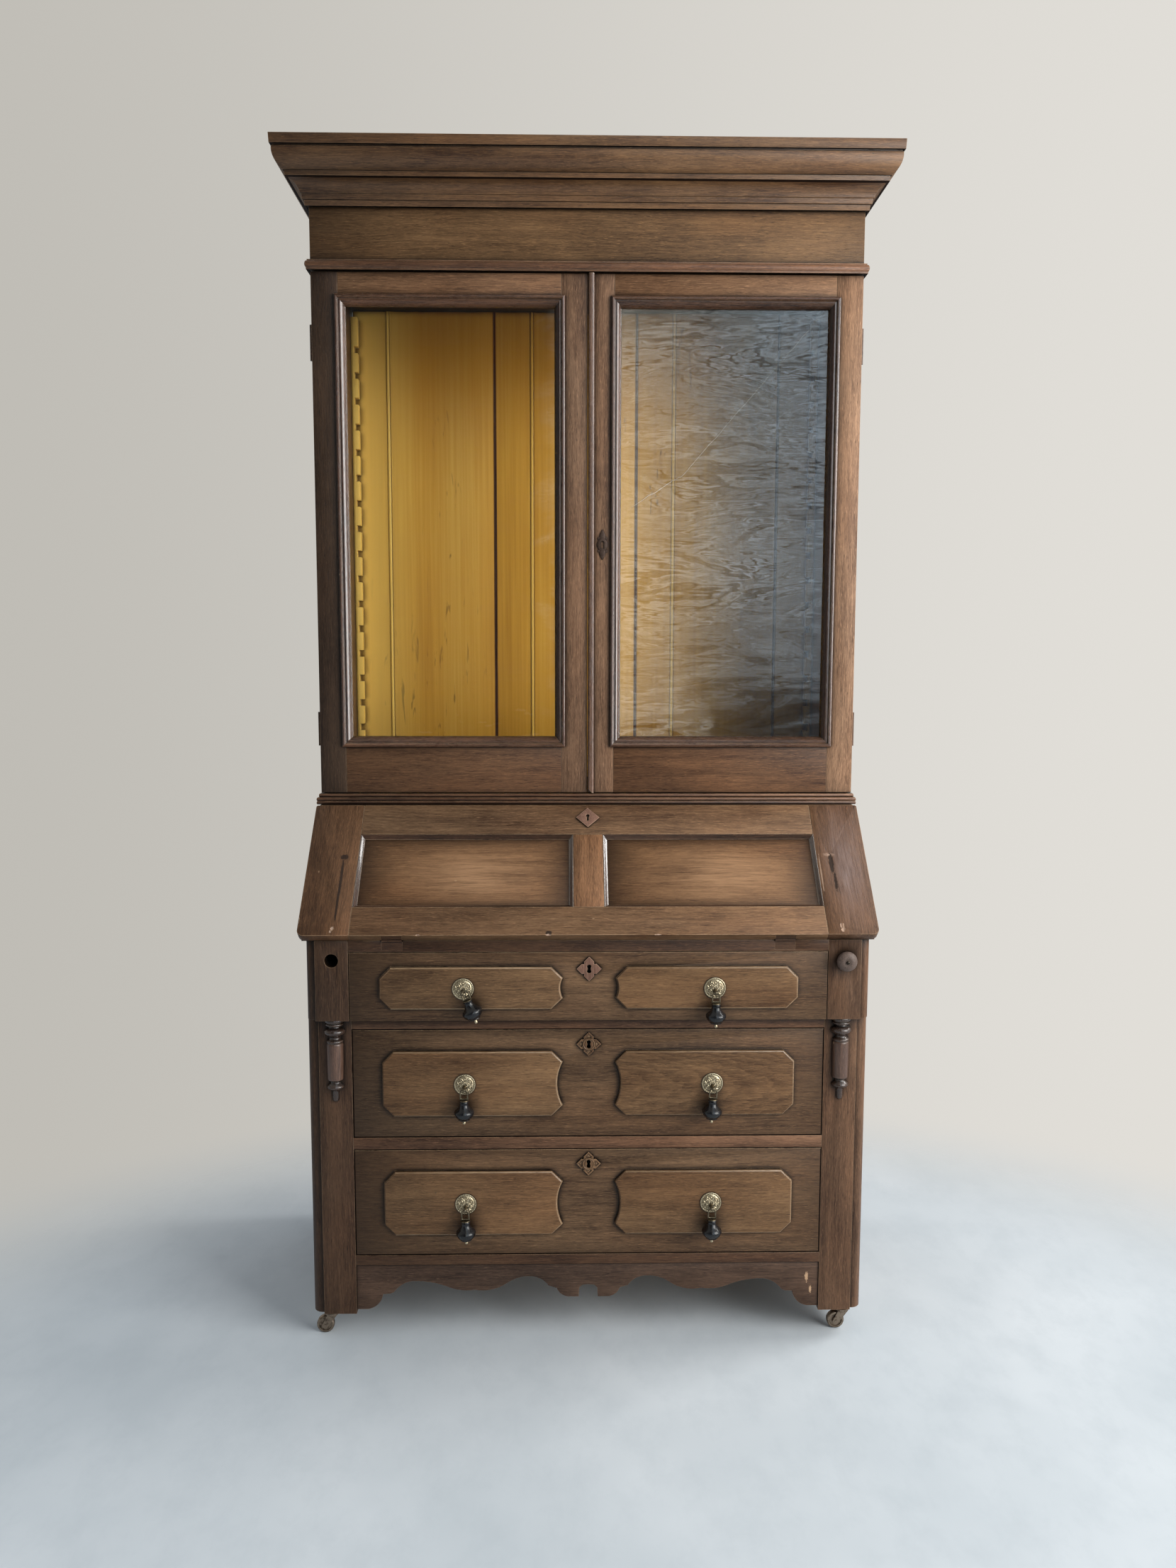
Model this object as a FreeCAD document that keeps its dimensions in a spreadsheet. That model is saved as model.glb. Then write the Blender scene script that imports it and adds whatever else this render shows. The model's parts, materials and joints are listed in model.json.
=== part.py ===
"""Victorian walnut secretary desk: drawer base, slanted fall front and glazed bookcase.

Millimetres, +Z up, +X to the right of someone facing the desk, +Y towards its back.
The origin lies on the floor under the middle of the desk's box.
"""
import FreeCAD, Part
import math
import os

import Sketcher

Vector = FreeCAD.Vector
Rotation = FreeCAD.Rotation
doc = FreeCAD.newDocument("secretary_desk")

# ---------------------------------------------------------------- driving dimensions

SIZES = [
    # the drawer base
    ("case_width", 1010, "outside of one side board to the other"),
    ("case_depth", 500, "front of the posts to the back of the desk"),
    ("board", 20, "thickness of side boards and drawer fronts"),
    ("thin_board", 13, "thickness of the back boards"),
    ("foot_height", 50.5, "floor to the foot of the posts"),
    ("post_width", 81, "width of a post with its moulded corner"),
    ("post_face", 59, "width of a post's flat front"),
    ("post_depth", 44, "depth of a post"),
    ("corner_step", 7, "depth of the groove beside a post's front"),
    ("corner_flat", 4, "width of that groove"),
    ("upper_proud", 20, "how far the top drawer and its blocks stand forward"),
    ("apron_top", 143, "height of the apron's upper edge"),
    ("apron_foot", 58, "height of the apron's feet"),
    ("apron_inset", 2, "how far the apron stands back from the posts"),
    ("bottom_rail", 19.5, "height of the rail under the lowest drawer"),
    ("low_opening", 200, "height of the lowest drawer's opening"),
    ("middle_rail", 22.5, "height of the rail over the lowest drawer"),
    ("middle_opening", 200.5, "height of the middle drawer's opening"),
    ("upper_rail", 20.5, "height of the rail over the middle drawer"),
    ("top_opening", 125.5, "height of the top drawer's opening"),
    ("bed_thick", 20.5, "thickness of the writing bed"),
    # drawers
    ("drawer_gap", 1, "gap round a drawer front"),
    ("slide_gap", 0.3, "gap under a drawer's sides"),
    ("drawer_side", 12, "thickness of a drawer's sides and back"),
    ("drawer_bottom", 7, "thickness of a drawer's bottom"),
    ("drawer_room", 37, "gap behind a drawer"),
    ("drawer_lower", 10, "how much lower a drawer's sides are than its front"),
    ("groove_height", 9, "height of a drawer's bottom over the edge of its sides"),
    ("runner_width", 85, "width of a drawer runner"),
    ("runner_thick", 18, "thickness of a drawer runner"),
    ("guide_height", 20, "height of the strip that guides a drawer"),
    ("overlay", 8, "thickness of the raised panels on the drawers"),
    ("overlay_inner", 46.5, "middle of the desk to the inner tips of a raised panel"),
    ("overlay_margin", 54, "outer end of a raised panel to the post beside it"),
    ("overlay_clip", 20, "size of a raised panel's cut corners"),
    ("overlay_bevel", 2.5, "bevel round a raised panel"),
    ("low_panel", 120, "height of the lowest drawer's raised panels"),
    ("middle_panel", 120, "height of the middle drawer's raised panels"),
    ("top_panel", 76, "height of the top drawer's raised panels"),
    # drop pulls, keyhole plates and locks
    ("pull_inset", 148, "outer end of a raised panel to the middle of its pull"),
    ("rosette_radius", 19, "radius of a pull's rosette"),
    ("rosette_rise", 5, "height of a rosette's dome"),
    ("pull_standoff", 19.5, "raised panel to the axis of a pull"),
    ("pull_below", 3.5, "how far a pull's axis lies under the rosette's middle"),
    ("pull_pin", 1.2, "radius of the pin that a pull hangs from"),
    ("pin_play", 0.05, "clearance round every turning pin"),
    ("bail_length", 17, "axis of a pull to its collar"),
    ("bail_spread", 6.4, "middle of a bail to one of its arms"),
    ("drop_radius", 18, "largest radius of a drop"),
    ("drop_neck", 7.6, "radius of a drop's neck"),
    ("drop_length", 35, "height of a drop under its collar"),
    ("tip_length", 8.5, "height of a drop's metal tip"),
    ("plate_thick", 3, "thickness of a keyhole plate"),
    ("plate_reach", 22, "middle of a keyhole plate to its points"),
    ("key_radius", 3.3, "radius of the round part of a keyhole"),
    ("key_drop", 11.5, "middle of a keyhole's round part to the foot of its slot"),
    ("key_rise", 4, "middle of a plate to the middle of its keyhole's round part"),
    ("lock_width", 62, "width of a lock's case"),
    ("lock_height", 36, "height of a lock's case"),
    ("lock_thick", 10, "thickness of a lock's case"),
    # turned half spindles under the blocks
    ("spindle_radius", 20, "largest radius of a spindle"),
    ("spindle_shaft", 13.7, "radius of a spindle's shaft"),
    ("spindle_length", 145, "height of a spindle"),
    # the fall front and its lopers
    ("lid_slope", 46.95, "angle of the closed fall front over the horizontal, degrees"),
    ("lid_length", 281, "height of the fall front along its slope"),
    ("lid_thick", 18, "thickness of the fall front"),
    ("lid_overhang", 6, "how far the fall front passes the side boards"),
    ("lid_stile", 91, "width of the fall front's stiles"),
    ("lid_top_rail", 67, "height of its top rail"),
    ("lid_foot_rail", 57, "height of its bottom rail"),
    ("lid_muntin", 55, "width of its middle upright"),
    ("lid_corner", 12, "radius of its lower corners"),
    ("lid_panel", 8, "thickness of its panels"),
    ("lid_sink", 7, "how far its panels lie under the frame"),
    ("lid_moulding", 9, "width of the moulding round its panels"),
    ("lid_rest", 0.5, "gap between the fall front and what it closes on"),
    ("lid_lift", 0.4, "height of the hinge pins over the writing bed"),
    ("lid_hinge_inset", 158.5, "side of the desk to the middle of a fall front hinge"),
    ("lid_hinge_width", 36, "length of a fall front hinge"),
    ("lid_barrel", 2.6, "radius of its barrel"),
    ("lid_pin", 1.4, "radius of its pin"),
    ("barrel_room", 0.4, "gap round a hinge barrel in the wood"),
    ("loper_drop", 36, "top of the writing bed to the lopers' middle"),
    ("loper_hole", 12, "radius of the lopers' holes"),
    ("loper_play", 0.1, "clearance round a loper"),
    ("loper_length", 380, "length of a loper's rod"),
    ("loper_reach", 230, "how far a loper is drawn out"),
    ("knob_radius", 18, "radius of a loper's knob"),
    ("knob_length", 25, "length of a loper's knob"),
    ("guide_block", 30, "depth of the block that holds a loper's tail"),
    # the gallery behind the fall front
    ("gallery_depth", 160, "depth of the pigeonholes"),
    ("gallery_room", 13, "gap over the pigeonholes"),
    ("gallery_board", 8, "thickness of the pigeonhole boards"),
    ("upper_pigeonhole", 62, "height of the pigeonholes over the shelf"),
    # the bookcase
    ("desk_top", 19, "thickness of the board over the writing space"),
    ("setback", 177, "front of the posts to the front of the glazed doors"),
    ("floor_board", 20, "thickness of the bookcase's floor"),
    ("bookcase_opening", 956, "height between the bookcase's floor and the rail over its doors"),
    ("ceiling_board", 18, "thickness of the bookcase's ceiling and of the rail over its doors"),
    ("frieze_height", 92, "height of the frieze"),
    ("door_thick", 22, "thickness of a glazed door's frame"),
    ("door_gap", 2, "gap over and under the doors"),
    ("meeting_gap", 1, "gap between the doors"),
    ("hinge_gap", 2.4, "gap between the doors and the case"),
    ("door_stile", 48.5, "width of a door's stiles"),
    ("door_top_rail", 46, "height of a door's top rail"),
    ("door_foot_rail", 94, "height of a door's bottom rail"),
    ("door_moulding", 20, "width of the moulding round a pane"),
    ("moulding_lap", 7, "how far that moulding laps over the frame"),
    ("moulding_proud", 6, "how far it stands over the frame"),
    ("glass_thick", 3, "thickness of a pane"),
    ("glass_inset", 11, "front of the door to the front of the pane"),
    ("glass_gap", 1, "gap round a pane"),
    ("bead_width", 12, "width of the bead where the doors meet"),
    ("bead_proud", 8, "how far that bead stands forward"),
    ("door_plate_height", 55, "height of the door's keyhole plate"),
    ("door_plate_width", 27, "width of the door's keyhole plate"),
    ("door_lock_height", 465, "door's foot to the middle of its keyhole"),
    ("door_hinge_inset", 120, "door's end to the middle of a hinge"),
    ("door_hinge_length", 64, "length of a door hinge"),
    ("door_hinge_leaf", 18, "width of a door hinge's leaf"),
    ("leaf_thick", 1, "thickness of a hinge leaf"),
    ("door_barrel", 3.6, "radius of a door hinge's barrel"),
    ("door_pin", 1.9, "radius of a door hinge's pin"),
    ("barrel_offset", 4.2, "side of the case to the axis of a door hinge"),
    ("knuckle_gap", 0.3, "gap between the knuckles of a hinge"),
    ("back_boards", 298, "width of a back board"),
    ("back_joint", 108, "middle of the desk to one joint of the back boards"),
    ("strip_width", 14, "width of a notched shelf strip"),
    ("strip_depth", 22, "depth of a notched shelf strip"),
    ("notch_pitch", 52, "spacing of the notches"),
    ("notch_height", 14, "height of a notch"),
    ("notch_depth", 8, "depth of a notch"),
    # mouldings
    ("waist_proud", 9, "how far the moulding over the doors stands forward"),
    ("base_proud", 8, "how far the moulding under the doors stands forward"),
    ("cornice_height", 104, "height of the cornice"),
    ("cornice_proud", 57, "how far the cornice stands forward"),
    # casters
    ("wheel_radius", 16, "radius of a caster's wheel"),
    ("wheel_width", 12, "width of a caster's wheel"),
    ("caster_trail", 12, "axis of a caster's stem to the axle"),
    ("caster_inset", 30, "side, front or back of the desk to a caster's stem"),
    ("stem_radius", 4, "radius of a caster's stem"),
    ("axle_radius", 2, "radius of a caster's axle"),
    ("plate_radius", 17, "radius of a caster's fixed plate"),
]

sheet = doc.addObject("Spreadsheet::Sheet", "sizes")
for row, (alias, value, meaning) in enumerate(SIZES, start=1):
    sheet.set(f"A{row}", alias)
    sheet.set(f"B{row}", str(value))
    sheet.set(f"C{row}", meaning)
    sheet.setAlias(f"B{row}", alias)
doc.recompute()


class Size(float):
    """A number that keeps the sheet expression that it came from, so that objects can be bound to it."""

    def __new__(cls, value, text):
        size = float.__new__(cls, value)
        size.text = text
        return size

    def __add__(self, other):
        return Size(float(self) + float(other), f"({self.text} + {text_of(other)})")

    def __radd__(self, other):
        return Size(float(other) + float(self), f"({text_of(other)} + {self.text})")

    def __sub__(self, other):
        return Size(float(self) - float(other), f"({self.text} - {text_of(other)})")

    def __rsub__(self, other):
        return Size(float(other) - float(self), f"({text_of(other)} - {self.text})")

    def __mul__(self, other):
        return Size(float(self) * float(other), f"({self.text} * {text_of(other)})")

    __rmul__ = __mul__

    def __truediv__(self, other):
        return Size(float(self) / float(other), f"({self.text} / {text_of(other)})")

    def __neg__(self):
        return Size(-float(self), f"(0 - {self.text})")


def text_of(value):
    return value.text if isinstance(value, Size) else repr(float(value))


def size(alias):
    return Size(sheet.get(alias), f"sizes.{alias}")


def sine(angle):
    return Size(math.sin(math.radians(angle)), f"sin({text_of(angle)})")


def cosine(angle):
    return Size(math.cos(math.radians(angle)), f"cos({text_of(angle)})")


def root(value):
    return Size(math.sqrt(value), f"sqrt({text_of(value)})")


def zero_size():
    return Size(0, "0.0")


# ---------------------------------------------------------------- places worked out from them

half = size("case_width") / 2
inner = half - size("board")
post_inner = half - size("post_width")
reach = size("upper_proud") + size("overlay") + size("pull_standoff") + size("drop_radius")
back = (size("case_depth") + reach) / 2
face = back - size("case_depth")
proud = face - size("upper_proud")
back_face = back - size("thin_board")
post_back = face + size("post_depth")
rear_post_face = back_face - size("post_depth")

low_floor = size("apron_top") + size("bottom_rail")
low_ceiling = low_floor + size("low_opening")
middle_floor = low_ceiling + size("middle_rail")
middle_ceiling = middle_floor + size("middle_opening")
top_floor = middle_ceiling + size("upper_rail")
top_ceiling = top_floor + size("top_opening")
bed_top = top_ceiling + size("bed_thick")
block_foot = top_floor + size("drawer_gap")
loper_z = bed_top - size("loper_drop")
loper_x = post_inner + size("post_face") / 2
overlay_outer = post_inner - size("overlay_margin")
pull_x = overlay_outer - size("pull_inset")

pivot_y = proud - size("lid_rest")
pivot_z = bed_top + size("lid_lift")
slope_y = cosine(size("lid_slope"))
slope_z = sine(size("lid_slope"))
lid_half = half + size("lid_overhang")
lid_hinge_x = half - size("lid_hinge_inset")
desk_top_z = pivot_z + size("lid_length") * slope_z + size("lid_thick") * slope_y
cheek_top = desk_top_z - size("desk_top")

door_face = face + size("setback")
door_back = door_face + size("door_thick")
case_front = door_back + size("hinge_gap")
floor_top = desk_top_z + size("floor_board")
ceiling_z = floor_top + size("bookcase_opening")
frieze_z = ceiling_z + size("ceiling_board")
cornice_z = frieze_z + size("frieze_height")
cornice_top_z = cornice_z + size("cornice_height")
door_foot = floor_top + size("door_gap")
door_head = ceiling_z - size("door_gap")

FRONTS = {
    "top": (top_floor, top_ceiling, proud, size("top_panel")),
    "middle": (middle_floor, middle_ceiling, face, size("middle_panel")),
    "bottom": (low_floor, low_ceiling, face, size("low_panel")),
}

# ---------------------------------------------------------------- ways to make a piece

NODES = {}


def bind(thing, path, value):
    thing.setExpression(path, text_of(value))


def put(thing, x, y, z):
    for axis, value in zip("xyz", (x, y, z)):
        bind(thing, f"Placement.Base.{axis}", value)
    return thing


def turn(thing, axis, degrees):
    thing.Placement = FreeCAD.Placement(Vector(), Rotation(Vector(*axis), degrees))
    return thing


def node(label, *pieces):
    """Name a sub-part. Several separate solids go into one compound."""
    whole = pieces[0]
    if len(pieces) > 1:
        whole = doc.addObject("Part::Compound", label)
        whole.Links = list(pieces)
    whole.Label = label
    NODES[label] = whole
    return whole


def box(name, x, y, z):
    """A board from its low and high faces on each axis."""
    board = doc.addObject("Part::Box", name)
    for prop, (low, high) in zip(("Length", "Width", "Height"), (x, y, z)):
        bind(board, prop, high - low)
    return put(board, x[0], y[0], z[0])


def rod(name, start, radius, length, axis="z"):
    """A cylinder from start towards +x, -y or +z."""
    bar = doc.addObject("Part::Cylinder", name)
    bind(bar, "Radius", radius)
    bind(bar, "Height", length)
    if axis == "x":
        turn(bar, (0, 1, 0), 90)
    if axis == "-y":
        turn(bar, (1, 0, 0), 90)
    return put(bar, *start)


def cut(name, base, *tools):
    result = doc.addObject("Part::Cut", name)
    tool = tools[0]
    if len(tools) > 1:
        tool = doc.addObject("Part::Compound", name + "_tools")
        tool.Links = list(tools)
    result.Base = base
    result.Tool = tool
    return result


def fuse(name, *pieces):
    result = doc.addObject("Part::MultiFuse", name)
    result.Shapes = list(pieces)
    return result


def mirrored(name, piece):
    """The left-hand copy of a right-hand piece."""
    copy = doc.addObject("Part::Mirroring", name)
    copy.Source = piece
    copy.Normal = Vector(1, 0, 0)
    return copy


def pair(name, piece):
    return [mirrored(name + "_left", piece), piece]


def sketch_on(body, plane, points):
    """A closed outline. A point is (u, v) or (u, v, bulge), with the bulge of the side that follows."""
    sketch = body.newObject("Sketcher::SketchObject", body.Name + "_outline")
    origin = [item for item in body.Origin.OriginFeatures if item.Role == plane][0]
    sketch.AttachmentSupport = [(origin, "")]
    sketch.MapMode = "FlatFace"
    count = len(points)
    ends = []
    for index, point in enumerate(points):
        following = points[(index + 1) % count]
        start = Vector(point[0], point[1], 0)
        end = Vector(following[0], following[1], 0)
        bulge = point[2] if len(point) > 2 else 0
        if bulge:
            chord = end - start
            middle = (start + end) / 2 + Vector(chord.y, -chord.x, 0) * (bulge / 2)
            sketch.addGeometry(Part.Arc(start, middle, end))
            ends.append((1, 2) if bulge > 0 else (2, 1))
        else:
            sketch.addGeometry(Part.LineSegment(start, end))
            ends.append((1, 2))
    for index in range(count):
        after = (index + 1) % count
        sketch.addConstraint(Sketcher.Constraint("Coincident", index, ends[index][1], after, ends[after][0]))
    for index, point in enumerate(points):
        for kind, value in zip(("DistanceX", "DistanceY"), point):
            number = sketch.addConstraint(Sketcher.Constraint(kind, -1, 1, index, ends[index][0], float(value)))
            bind(sketch, f"Constraints[{number}]", value)
        if len(point) > 2 and point[2]:
            following = points[(index + 1) % count]
            bulge = point[2]
            across = following[0] - point[0]
            along = following[1] - point[1]
            radius = root(across * across + along * along) * ((1 + bulge * bulge) / abs(4 * bulge))
            number = sketch.addConstraint(Sketcher.Constraint("Radius", index, float(radius)))
            bind(sketch, f"Constraints[{number}]", radius)
    return sketch


def pad(name, plane, points, length, place=(0, 0, 0)):
    """A board cut to an outline. Its thickness runs to +x from YZ, -y from XZ and +z from XY."""
    body = doc.addObject("PartDesign::Body", name)
    sketch = sketch_on(body, plane, points)
    slab = body.newObject("PartDesign::Pad", name + "_pad")
    slab.Profile = sketch
    bind(slab, "Length", length)
    sketch.Visibility = False
    return put(body, *place)


def turned(name, points, place=(0, 0, 0), axis="z", angle=360):
    """A turned piece from its (radius, height) outline, standing along +z or lying along -y."""
    body = doc.addObject("PartDesign::Body", name)
    sketch = sketch_on(body, "XZ_Plane", points)
    lathe = body.newObject("PartDesign::Revolution", name + "_turned")
    lathe.Profile = sketch
    lathe.ReferenceAxis = (sketch, ["V_Axis"])
    lathe.Angle = angle
    sketch.Visibility = False
    if axis == "-y":
        turn(body, (1, 0, 0), 90)
    return put(body, *place)


def bevel_front(body, width):
    """Bevel the edges of the face that looks towards -y."""
    doc.recompute()
    base = body.Tip
    fronts = [f"Face{number}" for number, side in enumerate(base.Shape.Faces, start=1)
              if side.normalAt(0, 0).y < -0.99 and side.Surface.TypeId == "Part::GeomPlane"]
    bevel = body.newObject("PartDesign::Chamfer", body.Name + "_bevel")
    bevel.Base = (base, fronts)
    bind(bevel, "Size", width)
    return body


def half_space(point, normal, extent=4000):
    """A large block whose near face passes through point and looks against normal."""
    block = Part.makeBox(extent, extent, extent, Vector(-extent / 2, -extent / 2, 0))
    block.Placement = FreeCAD.Placement(Vector(*point), Rotation(Vector(0, 0, 1), Vector(*normal)))
    return block


def run(outline, direction, ends):
    """A length of moulding: a closed outline of edges drawn out, then cut off by planes (point, normal)."""
    length = Part.Face(Part.Wire(outline)).extrude(Vector(*direction))
    for point, normal in ends:
        length = length.cut(half_space(point, normal))
    return length.Solids[0]


def solid(name, shape):
    feature = doc.addObject("Part::Feature", name)
    feature.Shape = shape
    return feature


def outline_edges(points, place):
    """Lines and arcs through (u, v) or (u, v, bulge) points. place turns (u, v) into a vector."""
    edges = []
    for index, point in enumerate(points):
        following = points[(index + 1) % len(points)]
        start = place(point[0], point[1])
        end = place(following[0], following[1])
        if len(point) > 2:
            across = following[0] - point[0]
            along = following[1] - point[1]
            middle = place((point[0] + following[0]) / 2 + along * point[2] / 2,
                           (point[1] + following[1]) / 2 - across * point[2] / 2)
            edges.append(Part.Arc(start, middle, end).toShape())
        else:
            edges.append(Part.makeLine(start, end))
    return edges


def case_moulding(name, profile, face_y):
    """A moulding across the front of the case with mitred returns along both sides.

    The profile is (proud, height). It stands on the case's side at x = half and its front at y = face_y.
    """
    width = float(half)
    front_y = float(face_y)
    far = max(point[0] for point in profile) + 1
    front = run(outline_edges(profile, lambda u, v: Vector(-width - far, front_y - u, v)),
                (2 * (width + far), 0, 0),
                [((width, front_y, 0), (1, 1, 0)), ((-width, front_y, 0), (-1, 1, 0))])
    side = run(outline_edges(profile, lambda u, v: Vector(width + u, front_y - far, v)),
               (0, float(back) - front_y + far, 0),
               [((width, front_y, 0), (-1, -1, 0))])
    right = solid(name + "_right", side)
    return [solid(name + "_front", front), mirrored(name + "_left", right), right]


def pane_moulding(name, low, high, profile, place):
    """Four mitred lengths round the opening from low to high. The profile is (into the opening, height)."""
    (x0, z0), (x1, z1) = [[float(value) for value in corner] for corner in (low, high)]
    far = 40
    lengths = []
    corners = [
        ("foot", (x0, z0), (1, 0), (0, 1), x1 - x0),
        ("right", (x1, z0), (0, 1), (-1, 0), z1 - z0),
        ("head", (x1, z1), (-1, 0), (0, -1), x1 - x0),
        ("left", (x0, z1), (0, -1), (1, 0), z1 - z0),
    ]
    for side, (x, z), along, inwards, length in corners:
        def spot(u, v, step=-far):
            return Vector(x + inwards[0] * u + along[0] * step, v, z + inwards[1] * u + along[1] * step)
        start = (x, 0, z)
        end = (x + along[0] * length, 0, z + along[1] * length)
        cut_start = (-along[0] + inwards[0], 0, -along[1] + inwards[1])
        cut_end = (along[0] + inwards[0], 0, along[1] + inwards[1])
        reach_out = length + 2 * far
        piece = run(outline_edges(profile, spot), (along[0] * reach_out, 0, along[1] * reach_out),
                    [(start, cut_start), (end, cut_end)])
        lengths.append(place(solid(f"{name}_{side}", piece)))
    return lengths


def keyhole(name, x, front, z, thick):
    """The cutter for a keyhole through a plate whose front lies at y = front."""
    rim = size("key_radius")
    deep = thick + 2
    eye = rod(name + "_eye", (x, front + thick + 1, z), rim, deep, "-y")
    slot = box(name + "_slot", (x - rim * 0.6, x + rim * 0.6), (front - 1, front + thick + 1),
               (z - size("key_drop"), z))
    return fuse(name, eye, slot)


# ---------------------------------------------------------------- the drawer base

def build_posts():
    """Corner posts, the blocks at the top drawer, and the half spindles under the blocks."""
    flat = post_inner + size("post_face")
    step = size("corner_step")
    groove = flat + size("corner_flat")
    round_end = step + half - groove
    quarter = math.tan(math.pi / 8)
    corner = [(flat, 0), (flat, step), (groove, step, quarter), (half, round_end)]
    posts = []
    blocks = []
    for part_name, depth, foot, plan_y, found in (
            ("front_post", size("post_depth"), size("foot_height"), face, posts),
            ("post_block", size("upper_proud"), block_foot, proud, blocks)):
        if found is blocks:
            corner = [(flat, 0), (flat, step), (groove, step, quarter), (groove + depth - step, depth)]
        plan = [(post_inner, 0)] + corner
        if found is posts:
            plan.append((half, depth))
        plan.append((post_inner, depth))
        stock = pad(part_name + "_stock", "XY_Plane", plan, bed_top - foot, (0, plan_y, foot))
        bore = rod(part_name + "_bore", (loper_x, plan_y + depth + 1, loper_z),
                   size("loper_hole"), depth + 2, "-y")
        found += pair(part_name, cut(part_name, stock, bore))
    rear = box("rear_post", (post_inner, inner), (rear_post_face, back_face),
               (size("foot_height"), top_ceiling))
    node("corner_posts", *posts, *pair("rear_post", rear))
    node("post_blocks", *blocks)

    big = size("spindle_radius")
    shaft = size("spindle_shaft")
    low = -size("spindle_length")
    half_turn = 180
    profile = [(0, 0), (0, low), (3.5, low, 0.3), (5.8, low + 3.5), (6.9, low + 19), (9, low + 20, 0.3),
               (15.2, low + 26), (15.2, low + 29, 0.3), (9, low + 35.5), (7.5, low + 37), (7.5, low + 38),
               (shaft, low + 40), (shaft, -43), (15, -42), (15, -38.5), (10.5, -32), (10, -31, 0.3),
               (big, -24.5), (big, -22), (13.5, -14, -0.2), (10.5, -12), (10.5, -11.5), (16.5, -10.6),
               (17.4, -8.6), (16.5, -6.6), (13, -5.6), (big - 1.2, -4.4), (big - 1.2, 0)]
    spindle = turned("half_spindle", profile, axis="z", angle=half_turn)
    turn(spindle, (0, 0, 1), 180)
    put(spindle, loper_x, face, block_foot)
    node("half_spindles", *pair("half_spindle", spindle))


def build_case():
    """Side boards, back, rails, runners, writing bed and the board over the writing space."""
    deep = size("case_depth")
    edge_low = pivot_y - face
    rest_y = size("lid_rest") * slope_z
    rest_z = -size("lid_rest") * slope_y
    run_up = (cheek_top - pivot_z - rest_z) / slope_z * slope_y
    side = pad("side_board", "YZ_Plane", [
        (post_back, size("foot_height")), (back_face, size("foot_height")), (back_face, cheek_top),
        (pivot_y + rest_y + run_up, cheek_top),
        (pivot_y + rest_y + (bed_top - pivot_z - rest_z) / slope_z * slope_y, bed_top), (post_back, bed_top),
    ], size("board"), (inner, 0, 0))
    node("side_boards", *pair("side_board", side))

    node("base_back", box("base_back", (-half, half), (back_face, back), (low_floor - size("bottom_rail"),
                                                                          cheek_top)))
    wide = post_inner
    rails = [
        box("bottom_rail", (-wide, wide), (face, post_back), (size("apron_top"), low_floor)),
        box("middle_rail", (-wide, wide), (face, post_back), (low_ceiling, middle_floor)),
        box("upper_rail", (-wide, wide), (face, post_back), (middle_ceiling, top_floor)),
    ]
    node("front_rails", *rails)

    runners = []
    for name, (floor, _, _, _) in FRONTS.items():
        runner_in = inner - size("runner_width")
        runner = box(name + "_runner", (runner_in, inner), (post_back, rear_post_face),
                     (floor - size("runner_thick"), floor))
        guide = box(name + "_guide", (post_inner, inner), (post_back, rear_post_face),
                    (floor, floor + size("guide_height")))
        runners += pair(name + "_runner", runner) + pair(name + "_guide", guide)
    node("drawer_runners", *runners)

    lip = box("bed_lip", (-wide, wide), (proud, post_back), (top_ceiling, bed_top))
    cutters = []
    for sign in (-1, 1):
        middle = lid_hinge_x * sign
        room = size("lid_barrel") + size("barrel_room")
        reach_x = size("lid_hinge_width") / 2 + size("barrel_room")
        cutters.append(rod("barrel_room", (middle - reach_x, pivot_y, pivot_z), room, reach_x * 2, "x"))
        cutters.append(box("leaf_room", (middle - size("lid_hinge_width") / 2, middle + size("lid_hinge_width") / 2),
                           (proud - 1, proud + size("leaf_thick")), (top_ceiling + 3, pivot_z)))
    bed = box("bed_board", (-inner, inner), (post_back, back_face), (top_ceiling, bed_top))
    node("writing_bed", cut("bed_lip_cut", lip, *cutters), bed)

    lid_edge = pivot_y + size("lid_length") * slope_y - size("lid_thick") * slope_z
    clear = size("lid_rest") / slope_y
    bevel_run = size("desk_top") / slope_y * slope_z
    top = pad("desk_top_board", "YZ_Plane", [
        (lid_edge + clear, desk_top_z), (lid_edge + clear + bevel_run, cheek_top),
        (back, cheek_top), (back, desk_top_z),
    ], size("case_width"), (-half, 0, 0))
    node("desk_top", top)

    guides = []
    wall = 10
    guide_y = proud + size("loper_length") - size("loper_reach") - size("guide_block")
    block = box("loper_guide_block",
                (loper_x - size("loper_hole") - wall, loper_x + size("loper_hole") + wall),
                (guide_y, guide_y + size("guide_block")),
                (loper_z - size("loper_hole") - wall / 2, top_ceiling))
    bore = rod("loper_guide_bore", (loper_x, guide_y + size("guide_block") + 1, loper_z),
               size("loper_hole"), size("guide_block") + 2, "-y")
    guides += pair("loper_guide", cut("loper_guide", block, bore))
    node("loper_guides", *guides)


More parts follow.
